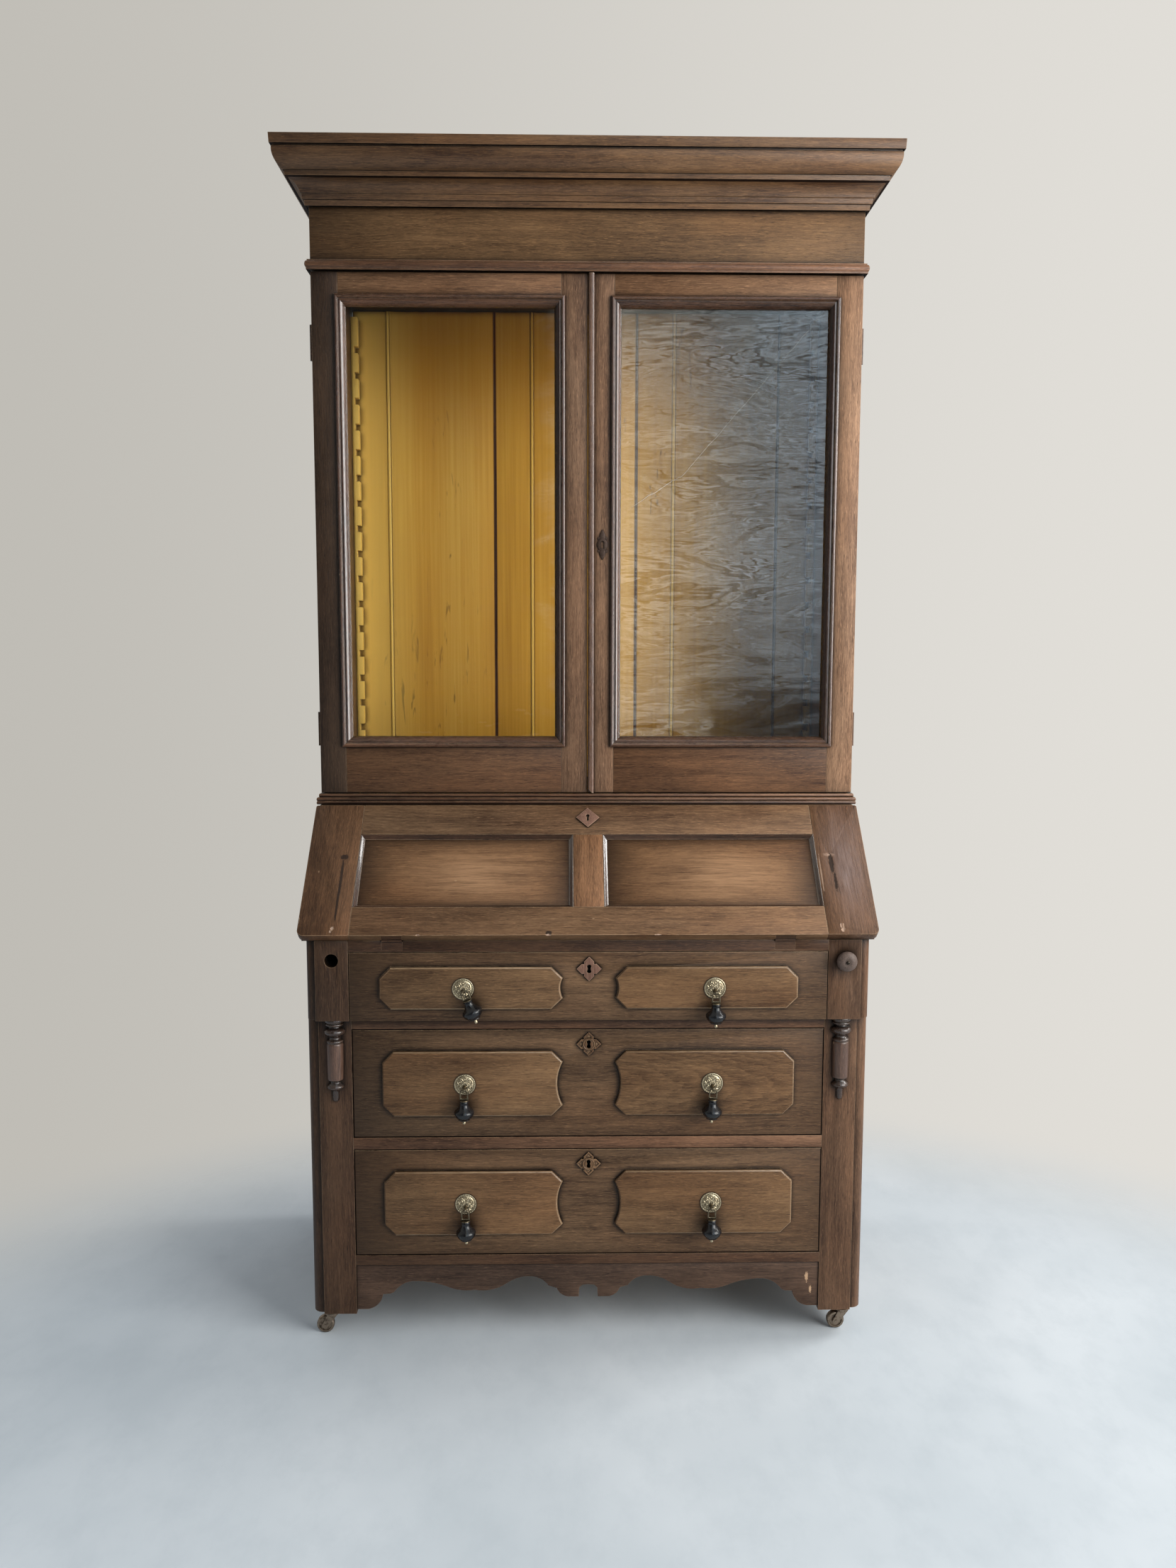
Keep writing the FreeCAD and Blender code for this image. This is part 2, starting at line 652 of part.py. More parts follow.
def build_apron():
    """The scalloped board under the bottom rail, drawn for one half and mirrored in the outline."""
    foot = size("apron_foot")
    wide = post_inner
    right = [
        # the lobe in the middle
        (0, foot + 44.5), (11, foot + 43.5), (16.5, foot + 38), (17.5, foot + 21), (37, foot + 21, 0.3),
        (58, foot + 38), (73, foot + 42.5, -0.25), (105.5, foot + 60.5, -0.18),
        # the wave between the lobe and the bracket
        (wide * 0.354, foot + 47, 0.2), (wide * 0.49, foot + 35.5, 0.15), (wide * 0.618, foot + 43.5, -0.1),
        # the bracket beside the post
        (wide - 102, foot + 53, -0.22), (wide - 68, foot + 32), (wide - 62, foot + 29.5),
        (wide - 48, foot + 28.5, 0.35), (wide - 20, foot), (wide, foot),
    ]
    arcs = [(point[2] if len(point) > 2 else 0) for point in right]
    left = []
    for index in range(len(right) - 1, 0, -1):
        bulge = arcs[index - 1]
        left.append((-right[index][0], right[index][1], bulge))
    outline = left + right + [(wide, size("apron_top")), (-wide, size("apron_top"))]
    board = pad("apron_board", "XZ_Plane", outline, size("board") - size("apron_inset"),
                (0, face + size("board"), 0))
    node("apron", board)


# ---------------------------------------------------------------- drawers and their pulls

def raised_panel(name, sign, middle_z, height, front):
    """A raised panel with cut corners and a hollowed inner end."""
    clip = size("overlay_clip")
    near = size("overlay_inner") * sign
    far = overlay_outer * sign
    rise = height / 2
    tips = rise - clip
    hollow = -0.25 * sign
    points = [
        (near + clip * sign, -rise), (far - clip * sign, -rise), (far, -tips), (far, tips),
        (far - clip * sign, rise), (near + clip * sign, rise), (near, tips, hollow), (near, -tips),
    ]
    body = pad(name, "XZ_Plane", points, size("overlay"), (0, front, middle_z))
    return bevel_front(body, size("overlay_bevel"))


def rosette(name, x, front, middle_z):
    """A domed rosette with an eye that the pull's pin turns in."""
    pivot = front - size("pull_standoff")
    axis_z = middle_z - size("pull_below")
    rim = size("rosette_radius")
    rise = size("rosette_rise")
    dome = turned(name + "_dome", [(0, 0), (rim, 0), (rim, rise * 0.24, 0.22), (0, rise)],
                  (x, front, middle_z), "-y")
    eye_radius = size("pull_pin") * 3
    eye_width = size("pull_pin") * 3.7
    neck = rod(name + "_neck", (x, front, axis_z), eye_radius * 0.7, size("pull_standoff"), "-y")
    ring = rod(name + "_ring", (x - eye_width / 2, pivot, axis_z), eye_radius, eye_width, "x")
    hole = rod(name + "_hole", (x - eye_width, pivot, axis_z), size("pull_pin") + size("pin_play"),
               eye_width * 2, "x")
    return cut(name, fuse(name + "_body", dome, neck, ring), hole)


def drop_pull(name, x, front, middle_z):
    """Bail, collar, ebonised drop and metal tip, hanging from the rosette's eye."""
    pivot = front - size("pull_standoff")
    axis_z = middle_z - size("pull_below")
    pin = size("pull_pin")
    spread = size("bail_spread")
    collar_z = axis_z - size("bail_length")
    collar = size("pull_pin") * 2
    pieces = [rod(name + "_pin", (x - spread, pivot, axis_z), pin, spread * 2, "x")]
    for side, sign in (("left", -1), ("right", 1)):
        pieces.append(rod(f"{name}_arm_{side}", (x + spread * sign, pivot, collar_z), pin, size("bail_length")))
    pieces.append(rod(name + "_collar", (x, pivot, collar_z - collar), size("drop_neck") * 1.08, collar))
    bail = fuse(name + "_bail", *pieces)
    neck = size("drop_neck")
    wide = size("drop_radius")
    tall = size("drop_length")
    drop = turned(name + "_drop", [
        (0, -tall), (wide * 0.56, -tall), (wide * 0.6, -tall * 0.87, 0.28), (wide, -tall * 0.58, 0.3),
        (neck, -tall * 0.12), (neck, 0), (0, 0),
    ], (x, pivot, collar_z - collar))
    tip = turned(name + "_tip", [
        (0, -size("tip_length"), 0.3), (neck * 0.36, -size("tip_length") * 0.65), (neck * 0.28, 0), (0, 0),
    ], (x, pivot, collar_z - collar - tall))
    return [bail, drop, tip]


def lobed_outline():
    """Four pointed lobes, each an arrowhead that meets its neighbours in a notch."""
    tip = size("plate_reach")
    lobe = [(zero_size(), tip), (tip * 0.41, tip * 0.59), (tip * 0.38, tip * 0.44), (tip * 0.44, tip * 0.38),
            (tip * 0.59, tip * 0.41)]
    outline = []
    for quarter in range(4):
        across = round(math.cos(math.pi / 2 * quarter))
        along = round(math.sin(math.pi / 2 * quarter))
        outline += [(u * across + v * along, v * across - u * along) for u, v in lobe]
    return outline


def lobed_plate(name, front, z, ring=True):
    """A keyhole plate with four pointed lobes, with or without a raised ring round its keyhole."""
    thick = size("plate_thick")
    plate = pad(name + "_plate", "XZ_Plane", lobed_outline(), thick, (0, front, z))
    over = thick
    if ring:
        over = thick * 1.4
        plate = fuse(name + "_body", plate,
                     rod(name + "_ring", (0, front, z), size("plate_reach") * 0.48, over, "-y"))
    return cut(name, plate, keyhole(name + "_key", zero_size(), front - over, z + size("key_rise"), over))


def build_drawer(name, number):
    floor, ceiling, front, panel = FRONTS[name]
    gap = size("drawer_gap")
    wide = post_inner - gap
    foot = floor + gap
    head = ceiling - gap
    inside = front + size("board")
    panel_z = floor + (ceiling - floor) * PANEL_PLACE[name]
    overlays = [raised_panel(f"{name}_panel_{side}", sign, panel_z, panel, front)
                for side, sign in (("left", -1), ("right", 1))]
    node(f"{name}_drawer_front", box(name + "_front", (-wide, wide), (front, inside), (foot, head)), *overlays)

    side = size("drawer_side")
    rest = floor + size("slide_gap")
    edge = head - size("drawer_lower")
    rear = back_face - size("drawer_room")
    bottom = rest + size("groove_height")
    boards = pair(name + "_side", box(name + "_side", (wide - side, wide), (inside, rear), (rest, edge)))
    boards.append(box(name + "_bottom", (side - wide, wide - side), (inside, rear - side),
                      (bottom, bottom + size("drawer_bottom"))))
    boards.append(box(name + "_rear", (side - wide, wide - side), (rear - side, rear),
                      (bottom, edge - size("drawer_lower"))))
    node(f"{name}_drawer_box", *boards)

    panel_front = front - size("overlay")
    fittings = []
    for side_name, sign in (("left", -1), ("right", 1)):
        x = pull_x * sign
        fittings.append(rosette(f"{name}_rosette_{side_name}", x, panel_front, panel_z))
        label = f"{name}_pull_{side_name}"
        node(label, *drop_pull(label + "_part", x, panel_front, panel_z))
    plate_z = head - size("plate_reach") - PLATE_DROP[name]
    fittings.append(lobed_plate(name + "_plate", front, plate_z, ring=name != "top"))
    lock_half = size("lock_width") / 2
    fittings.append(box(name + "_lock", (-lock_half, lock_half), (inside, inside + size("lock_thick")),
                        (edge - size("lock_height"), edge)))
    node(f"{name}_drawer_fittings", *fittings)


# the middle of the raised panels as a share of each opening, and the gap over each keyhole plate
PANEL_PLACE = {"top": 0.49, "middle": 0.506, "bottom": 0.503}
PLATE_DROP = {"top": 7.5, "middle": 4.6, "bottom": 4.4}


# ---------------------------------------------------------------- the fall front

def lay_on_slope(thing):
    """Stand a piece drawn flat (x, along the slope, out of it) on the closed fall front's slope."""
    thing.Placement = FreeCAD.Placement(Vector(), Rotation(Vector(1, 0, 0), size("lid_slope")))
    bind(thing, "Placement.Rotation.Angle", size("lid_slope"))
    return put(thing, 0, pivot_y, pivot_z)


def build_lid():
    """Everything is drawn flat: y runs up the slope from the hinge, z out of the inner face."""
    zero = zero_size()
    thick = size("lid_thick")
    length = size("lid_length")
    stile_in = lid_half - size("lid_stile")
    corner = size("lid_corner")
    quarter = math.tan(math.pi / 8)
    stile = pad("lid_stile_right", "XY_Plane", [
        (stile_in, zero), (lid_half - corner, zero, quarter), (lid_half, corner), (lid_half, length - 4, quarter),
        (lid_half - 4, length), (stile_in, length),
    ], thick)
    foot_rail = box("lid_foot_rail", (-stile_in, stile_in), (zero, size("lid_foot_rail")), (zero, thick))
    cutters = []
    leaves = []
    for sign in (-1, 1):
        middle = lid_hinge_x * sign
        reach_x = size("lid_hinge_width") / 2
        room = size("lid_barrel") + size("barrel_room")
        over = size("barrel_room")
        cutters.append(rod("lid_barrel_room", (middle - reach_x - over, zero, zero), room, (reach_x + over) * 2, "x"))
        cutters.append(box("lid_leaf_room", (middle - reach_x, middle + reach_x),
                           (zero - 1, zero + size("leaf_thick")), (zero, thick - 3)))
        leaves.append(lid_leaf(f"lid_leaf_{'left' if sign < 0 else 'right'}", middle))
    head = length - size("lid_top_rail")
    frame = pair("lid_stile", stile)
    frame.append(cut("lid_foot_rail_cut", foot_rail, *cutters))
    frame.append(box("lid_head_rail", (-stile_in, stile_in), (head, length), (zero, thick)))
    muntin = size("lid_muntin") / 2
    frame.append(box("lid_muntin_bar", (-muntin, muntin), (size("lid_foot_rail"), head), (zero, thick)))
    lay_on_slope(node("lid_frame", *frame))
    lay_on_slope(node("lid_hinge_leaves", *leaves))

    panel_face = thick - size("lid_sink")
    panels = []
    strips = []
    for side, sign in (("left", -1), ("right", 1)):
        low, high = sorted((muntin * sign, stile_in * sign))
        panels.append(box(f"lid_panel_{side}", (low, high), (size("lid_foot_rail"), head),
                          (panel_face - size("lid_panel"), panel_face)))
        reach_in = float(size("lid_moulding"))
        profile = [(0, -panel_face), (reach_in, -panel_face), (reach_in, -panel_face - 1.5),
                   (reach_in / 2, -thick + 1), (2, -thick), (0, -thick)]
        profile = [(float(u), float(v)) for u, v in profile]
        strips += pane_moulding(f"lid_moulding_{side}", (low, size("lid_foot_rail")), (high, head), profile,
                                lambda piece: turn(piece, (1, 0, 0), -90))
    lay_on_slope(node("lid_panels", *panels, *strips))

    tip = size("plate_reach")
    plate_y = length - size("lid_top_rail") / 2 + 3
    plate = pad("lid_plate_blank", "XY_Plane", [(zero, -tip), (tip, zero), (zero, tip), (-tip, zero)],
                size("plate_thick"), (0, plate_y, thick))
    rim = size("key_radius")
    eye_y = plate_y + size("key_rise")
    eye = rod("lid_key_eye", (zero, eye_y, thick - 1), rim, size("plate_thick") + 2)
    slot = box("lid_key_slot", (-rim * 0.6, rim * 0.6), (eye_y - size("key_drop"), eye_y),
               (thick - 1, thick + size("plate_thick") + 1))
    lay_on_slope(node("lid_keyhole_plate", cut("lid_plate", plate, fuse("lid_key", eye, slot))))


def knuckles(name, start, length, barrel, pin, axis):
    """A hinge's barrel in three: two outer knuckles with the pin, and the middle one that turns on it."""
    gap = size("knuckle_gap")
    third = length / 3
    steps = {"x": (1, 0, 0), "z": (0, 0, 1)}[axis]

    def along(distance):
        return tuple(value + distance * step for value, step in zip(start, steps))

    fixed = [rod(name + "_knuckle_low", along(zero_size()), barrel, third, axis),
             rod(name + "_knuckle_high", along(length - third), barrel, third, axis),
             rod(name + "_pin", along(zero_size()), pin, length, axis)]
    tube = rod(name + "_knuckle_middle", along(third + gap), barrel, third - gap * 2, axis)
    bore = rod(name + "_bore", along(third), pin + size("pin_play"), third, axis)
    return fixed, tube, bore


def lid_leaf(name, middle):
    """The turning leaf of a fall front hinge, let into the lid's lower edge. Drawn flat like the lid."""
    zero = zero_size()
    width = size("lid_hinge_width")
    third = width / 3
    gap = size("knuckle_gap")
    start = (middle - width / 2, zero, zero)
    tube = rod(name + "_tube", (start[0] + third + gap, zero, zero), size("lid_barrel"), third - gap * 2, "x")
    bore = rod(name + "_bore", (start[0] + third, zero, zero), size("lid_pin") + size("pin_play"), third, "x")
    room = size("lid_barrel") + size("barrel_room")
    plate = box(name + "_plate", (start[0], start[0] + width), (zero, zero + size("leaf_thick")),
                (room, size("lid_thick") - 3))
    tab = box(name + "_tab", (start[0] + third + gap, start[0] + third * 2 - gap),
              (zero, zero + size("leaf_thick")), (size("lid_barrel") / 2, room))
    return cut(name, fuse(name + "_body", tube, plate, tab), bore)


def build_loper():
    """The round loper that is drawn out on the right to carry the open fall front."""
    radius = size("loper_hole") - size("loper_play")
    bar = rod("loper_rod", (loper_x, proud + size("loper_length"), loper_z), radius,
              size("loper_length"), "-y")
    knob_r = size("knob_radius")
    tall = size("knob_length")
    knob = turned("loper_knob", [
        (0, 0), (knob_r * 0.62, 0), (knob_r * 0.6, 6), (knob_r * 0.78, 9, 0.3), (knob_r, 15, 0.35),
        (knob_r * 0.35, tall), (0, tall),
    ], (loper_x, proud, loper_z), "-y")
    screw = turned("loper_screw", [(0, 0), (2.8, 0), (2.8, 1), (1.6, 1.6), (0, 1.6)],
                   (loper_x, proud - tall, loper_z), "-y")
    node("loper", bar, knob, screw)


# ---------------------------------------------------------------- pigeonholes

def build_gallery():
    thick = size("gallery_board")
    front = back_face - size("gallery_depth")
    foot = bed_top
    head = cheek_top - size("gallery_room")
    shelf_top = head - thick - size("upper_pigeonhole")
    wide = inner
    boards = [box("gallery_top", (-wide, wide), (front, back_face), (head - thick, head))]
    bay = (wide * 2 - thick) / 5
    for index in range(6):
        left = -wide + bay * index
        boards.append(box(f"gallery_upright_{index + 1}", (left, left + thick), (front, back_face),
                          (foot, head - thick)))
    for index in (1, 2, 3):
        left = -wide + bay * index + thick
        boards.append(box(f"gallery_shelf_{index}", (left, left + bay - thick), (front, back_face),
                          (shelf_top - thick, shelf_top)))
    node("pigeonholes", *boards)


# ---------------------------------------------------------------- the bookcase

def build_bookcase():
    node("bookcase_boards", box("bookcase_floor", (-half, half), (door_face, back), (desk_top_z, floor_top)),
         box("bookcase_head_rail", (-half, half), (door_face, case_front), (ceiling_z, frieze_z)),
         box("bookcase_ceiling", (-inner, inner), (door_face + size("board"), back_face),
             (frieze_z, frieze_z + size("ceiling_board"))))
    side = box("bookcase_side", (inner, half), (case_front, back), (floor_top, frieze_z))
    node("bookcase_sides", *pair("bookcase_side", side))

    boards = []
    joints = [-inner, size("back_joint") - size("back_boards"), size("back_joint"),
              size("back_joint") + size("back_boards"), inner]
    for index in range(len(joints) - 1):
        boards.append(box(f"back_board_{index + 1}", (joints[index], joints[index + 1]), (back_face, back),
                          (floor_top, frieze_z)))
    node("bookcase_back", *boards)

    strip_z = floor_top
    profile = [(inner, 0), (inner - size("strip_width"), 0)]
    spare = size("notch_height") + size("notch_pitch") / 2
    for index in range(int((size("bookcase_opening") - spare) / size("notch_pitch"))):
        low = size("notch_pitch") * (index + 1)
        edge = inner - size("strip_width")
        deep = edge + size("notch_depth")
        profile += [(edge, low), (deep, low), (deep, low + size("notch_height")), (edge, low + size("notch_height"))]
    profile += [(inner - size("strip_width"), size("bookcase_opening")), (inner, size("bookcase_opening"))]
    strips = []
    for place, strip_back in (("rear", back_face), ("front", case_front + size("strip_depth") + 30)):
        edges = outline_edges([(float(u), float(v)) for u, v in profile],
                              lambda u, v: Vector(u, float(strip_back), float(strip_z) + v))
        comb = Part.Face(Part.Wire(edges)).extrude(Vector(0, -float(size("strip_depth")), 0))
        strips += pair("shelf_strip_" + place, solid("shelf_strip_" + place, comb))
    node("shelf_strips", *strips)

    thick = size("board")
    frieze_side = box("frieze_side", (inner, half), (door_face + thick, back), (frieze_z, cornice_z))
    node("frieze", box("frieze_front", (-half, half), (door_face, door_face + thick), (frieze_z, cornice_z)),
         *pair("frieze_side", frieze_side),
         box("frieze_rear", (-inner, inner), (back_face, back), (frieze_z, cornice_z)))


def build_mouldings():
    low = float(ceiling_z)
    high = float(frieze_z)
    out = float(size("waist_proud"))
    waist = [(0, low), (out - 2.5, low), (out - 2.5, low + 3, 0.4), (out - 2.5, high - 3), (out - 4, high - 3),
             (out - 4, high), (0, high)]
    low = float(desk_top_z)
    high = float(floor_top)
    out = float(size("base_proud"))
    base = [(0, low), (out - 1.3, low, 0.4), (out - 1.3, low + 6.5, 0.4), (out - 1.3, low + 13),
            (out - 5, low + 13.6, 0.35), (out - 5, high), (0, high)]
    node("case_mouldings", *case_moulding("waist_moulding", waist, door_face),
         *case_moulding("base_moulding", base, door_face))

    low = float(cornice_z)
    tall = float(size("cornice_height"))
    out = float(size("cornice_proud"))
    cornice = [(0, low), (out - 51, low), (out - 50, low + 9.6, 0.35), (out - 47, low + 11), (out - 46, low + 19),
               (out - 44, low + 20, -0.3), (out - 23, low + 41), (out - 22, low + 41), (out - 22, low + 49.5),
               (out - 20, low + 49.5, 0.28), (out - 4, low + 83.5), (out - 6, low + 84), (out - 6, low + 87),
               (out - 1, low + 87), (out, low + tall), (0, low + tall)]
    node("cornice", *case_moulding("cornice", cornice, door_face))
    thick = size("thin_board")
    node("cornice_top", box("cornice_top", (-half, half), (door_face, back),
                            (cornice_top_z - thick, cornice_top_z)),
         *cornice_ties(thick))


def cornice_ties(thick):
    """Rails inside the cornice that carry its top board on the frieze."""
    ties = []
    for place, low_y in (("front", door_face), ("rear", back - size("board"))):
        ties.append(box("cornice_tie_" + place, (-half, half), (low_y, low_y + size("board")),
                        (cornice_z, cornice_top_z - thick)))
    return ties


def build_door(name, sign):
    """A glazed door. sign is -1 for the left-hand door and 1 for the right-hand one."""
    def span(near, far):
        return (near, far) if sign > 0 else (-far, -near)

    meeting = size("meeting_gap") / 2
    stile = size("door_stile")
    lap = size("moulding_lap")
    open_near = meeting + stile
    open_far = half - stile
    open_foot = door_foot + size("door_foot_rail")
    open_head = door_head - size("door_top_rail")
    deep = (door_face, door_back)
    node(name + "_frame",
         box(name + "_meeting_stile", span(meeting, open_near), deep, (door_foot, door_head)),
         box(name + "_hanging_stile", span(open_far, half), deep, (door_foot, door_head)),
         box(name + "_foot_rail", span(open_near, open_far), deep, (door_foot, open_foot)),
         box(name + "_head_rail", span(open_near, open_far), deep, (open_head, door_head)))

    gap = size("glass_gap")
    glass_y = door_face + size("glass_inset")
    glass_back = glass_y + size("glass_thick")
    node(name + "_glass", box(name + "_pane", span(open_near + gap, open_far - gap), (glass_y, glass_back),
                              (open_foot + gap, open_head - gap)))

    front = float(door_face)
    width = float(size("door_moulding"))
    lapped = float(lap)
    rise = float(size("moulding_proud"))
    rebate = float(glass_y)
    profile = [(0, front), (0, front - 2, -0.3), (3, front - rise + 1), (5, front - rise),
               (lapped + 3, front - rise, -0.3), (width, rebate - 3), (width, rebate), (lapped, rebate),
               (lapped, front)]
    low_x, high_x = span(open_near - lap, open_far + lap)
    lengths = pane_moulding(name + "_moulding", (low_x, open_foot - lap), (high_x, open_head + lap), profile,
                            lambda piece: piece)
    bead = 9
    bead_profile = [(0, float(glass_back)), (bead, float(glass_back)), (0, float(door_back))]
    low_x, high_x = span(open_near, open_far)
    lengths += pane_moulding(name + "_bead", (low_x, open_foot), (high_x, open_head), bead_profile,
                             lambda piece: piece)
    node(name + "_moulding", *lengths)


def door_hinges():
    """Two butt hinges to a door: fixed halves with their pins, and turning halves on the doors."""
    length = size("door_hinge_length")
    axis_x = half + size("barrel_offset")
    axis_y = door_back + size("hinge_gap") / 2
    leaf_in = half - size("door_hinge_leaf")
    thick = size("leaf_thick")
    gap = size("knuckle_gap")
    third = length / 3
    fixed_halves = []
    turning = []
    for level, middle in (("low", door_foot + size("door_hinge_inset")),
                          ("high", door_head - size("door_hinge_inset"))):
        name = f"door_hinge_{level}"
        foot = middle - length / 2
        fixed, tube, bore = knuckles(name, (axis_x, axis_y, foot), length, size("door_barrel"), size("door_pin"), "z")
        leaf_y = (case_front - thick, case_front)
        fixed.append(box(name + "_leaf", (leaf_in, half + 0.2), leaf_y, (foot, foot + length)))
        fixed.append(box(name + "_tab_low", (half, axis_x), leaf_y, (foot, foot + third)))
        fixed.append(box(name + "_tab_high", (half, axis_x), leaf_y, (foot + length - third, foot + length)))
        fixed_halves.append(fuse(name + "_fixed", *fixed))
        leaf_y = (door_back, door_back + thick)
        plate = box(name + "_turning_leaf", (leaf_in, half + 0.2), leaf_y, (foot, foot + length))
        tab = box(name + "_turning_tab", (half, axis_x), leaf_y, (foot + third + gap, foot + third * 2 - gap))
        turning.append(cut(name + "_turning", fuse(name + "_turning_body", tube, plate, tab), bore))
    left_fixed = [mirrored(piece.Name + "_left", piece) for piece in fixed_halves]
    node("right_door_hinge_leaves", *turning)
    node("left_door_hinge_leaves", *[mirrored(piece.Name + "_left", piece) for piece in turning])
    return fixed_halves + left_fixed


def lid_hinges_fixed():
    """The fixed halves of the fall front's hinges, let into the writing bed's front edge."""
    halves = []
    width = size("lid_hinge_width")
    third = width / 3
    room = size("lid_barrel") + size("barrel_room")
    for side, sign in (("left", -1), ("right", 1)):
        name = "lid_hinge_" + side
        start = lid_hinge_x * sign - width / 2
        fixed, _, _ = fixed_knuckles(name, (start, pivot_y, pivot_z), width)
        leaf_y = (proud, proud + size("leaf_thick"))
        fixed.append(box(name + "_leaf", (start, start + width), leaf_y, (top_ceiling + 3, pivot_z - room)))
        for end, low in (("low", start), ("high", start + width - third)):
            fixed.append(box(f"{name}_tab_{end}", (low, low + third), leaf_y, (pivot_z - room, pivot_z)))
        halves.append(fuse(name + "_fixed", *fixed))
    return halves


def fixed_knuckles(name, start, width):
    third = width / 3
    pieces = [rod(name + "_knuckle_low", start, size("lid_barrel"), third, "x"),
              rod(name + "_knuckle_high", (start[0] + width - third, start[1], start[2]), size("lid_barrel"),
                  third, "x"),
              rod(name + "_pin", start, size("lid_pin"), width, "x")]
    return pieces, None, None


def build_meeting_pieces():
    """The bead on the right-hand door's meeting edge, its keyhole plate and its lock."""
    meeting = size("meeting_gap") / 2
    wide = size("bead_width")
    rise = size("bead_proud")
    round_over = 0.35
    bead = pad("meeting_bead_bar", "XY_Plane", [
        (meeting, 0), (meeting, -rise * 0.45, round_over), (meeting + wide, -rise * 0.45), (meeting + wide, 0),
    ], door_head - door_foot, (0, door_face, door_foot))
    node("meeting_bead", bead)

    lock_z = door_foot + size("door_lock_height")
    centre = meeting + wide + (size("door_stile") - wide - size("moulding_lap")) / 2
    tall = size("door_plate_height") / 2
    side = size("door_plate_width") / 2
    bow = 0.22
    plate = pad("door_plate_blank", "XZ_Plane", [(zero_size(), -tall, bow), (side, zero_size(), bow),
                                                 (zero_size(), tall, bow), (-side, zero_size(), bow)],
                size("plate_thick") * 0.6, (centre, door_face, lock_z))
    hole = keyhole("door_key", centre, door_face - size("plate_thick") * 0.6, lock_z + size("key_rise"),
                   size("plate_thick") * 0.6)
    stile_mid = meeting + size("door_stile") / 2
    lock = box("door_lock_case", (stile_mid - size("door_stile") / 2, stile_mid + size("door_stile") / 2 - 4),
               (door_back, door_back + size("lock_thick")),
               (lock_z - size("lock_width") / 2, lock_z + size("lock_width") / 2))
    node("right_door_lock", cut("door_plate", plate, hole), lock)


# ---------------------------------------------------------------- casters

def build_casters():
    radius = size("wheel_radius")
    trail = size("caster_trail")
    stem = size("stem_radius")
    axle = size("axle_radius")
    play = size("pin_play")
    foot = size("foot_height")
    crown_z = radius * 2 + 4
    crown = 3.5
    socket_foot = crown_z + crown + 0.3
    cheek_gap = 0.5
    cheek = 2.2
    wide = size("wheel_width")
    sockets = []
    places = []
    for end, y in (("front", face + size("caster_inset")), ("back", back - size("caster_inset"))):
        for side, sign in (("left", -1), ("right", 1)):
            places.append((f"{end}_{side}", (half - size("caster_inset")) * sign, y))
    for name, x, y in places:
        boss = rod(name + "_boss", (x, y, socket_foot), stem + 5, foot - socket_foot)
        flange = rod(name + "_flange", (x, y, foot - 2), size("plate_radius"), 2)
        bore = rod(name + "_socket_bore", (x, y, socket_foot - 1), stem + play, foot - socket_foot)
        sockets.append(cut(name + "_socket", fuse(name + "_socket_body", boss, flange), bore))

        pieces = [rod(name + "_crown", (x, y, crown_z), 13, crown),
                  rod(name + "_stem", (x, y, crown_z), stem, foot - 2 - crown_z)]
        for face_name, offset in (("near", -wide / 2 - cheek_gap), ("far", wide / 2 + cheek_gap + cheek)):
            outline = [(11, crown_z + 1), (-7, crown_z + 1), (-trail - 6, radius, 0.9), (-trail + 5.4, radius - 2.6)]
            pieces.append(pad(f"{name}_cheek_{face_name}", "XZ_Plane", outline, cheek, (x, y + offset, 0)))
        axle_length = wide + cheek_gap * 2 + cheek * 2 + 2
        pieces.append(rod(name + "_axle", (x - trail, y + axle_length / 2, radius), axle, axle_length, "-y"))
        node(f"caster_horn_{name}", fuse(f"{name}_horn", *pieces))

        rim = 2.5
        wheel = turned(f"{name}_wheel", [
            (axle + play, 0), (6, 0), (6.5, 1.5), (radius - 5, 1.5), (radius - 4.5, 0), (radius - rim, 0, 0.3),
            (radius, rim), (radius, wide - rim, 0.3), (radius - rim, wide), (radius - 4.5, wide),
            (radius - 5, wide - 1.5), (6.5, wide - 1.5), (6, wide), (axle + play, wide),
        ], (x - trail, y + wide / 2, radius), "-y")
        node(f"caster_wheel_{name}", wheel)
    node("caster_sockets", *sockets)


# ---------------------------------------------------------------- build, check and write

build_posts()
build_case()
build_apron()
for position, drawer_name in enumerate(FRONTS, start=1):
    build_drawer(drawer_name, position)
build_lid()
build_loper()
build_gallery()
build_bookcase()
build_mouldings()
build_door("left_door", -1)
build_door("right_door", 1)
build_meeting_pieces()
node("fixed_hinge_leaves", *door_hinges(), *lid_hinges_fixed())
build_casters()
doc.recompute()

for thing in doc.Objects:
    if "Invalid" in thing.State or "Error" in thing.State:
        raise RuntimeError(f"{thing.Label} failed: {thing.State}")
for label, thing in NODES.items():
    if thing.Shape.isNull() or not thing.Shape.isValid() or not thing.Shape.Solids:
        raise RuntimeError(f"{label} has no valid solid")

os.makedirs("parts", exist_ok=True)
for label, thing in NODES.items():
    thing.Shape.exportStep(f"parts/{label}.step")
print(f"{len(NODES)} sub-parts written")
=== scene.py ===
"""Finishes and fine pieces for the walnut secretary desk."""

import json
import math

import bmesh
import bpy
from mathutils import Matrix, Vector


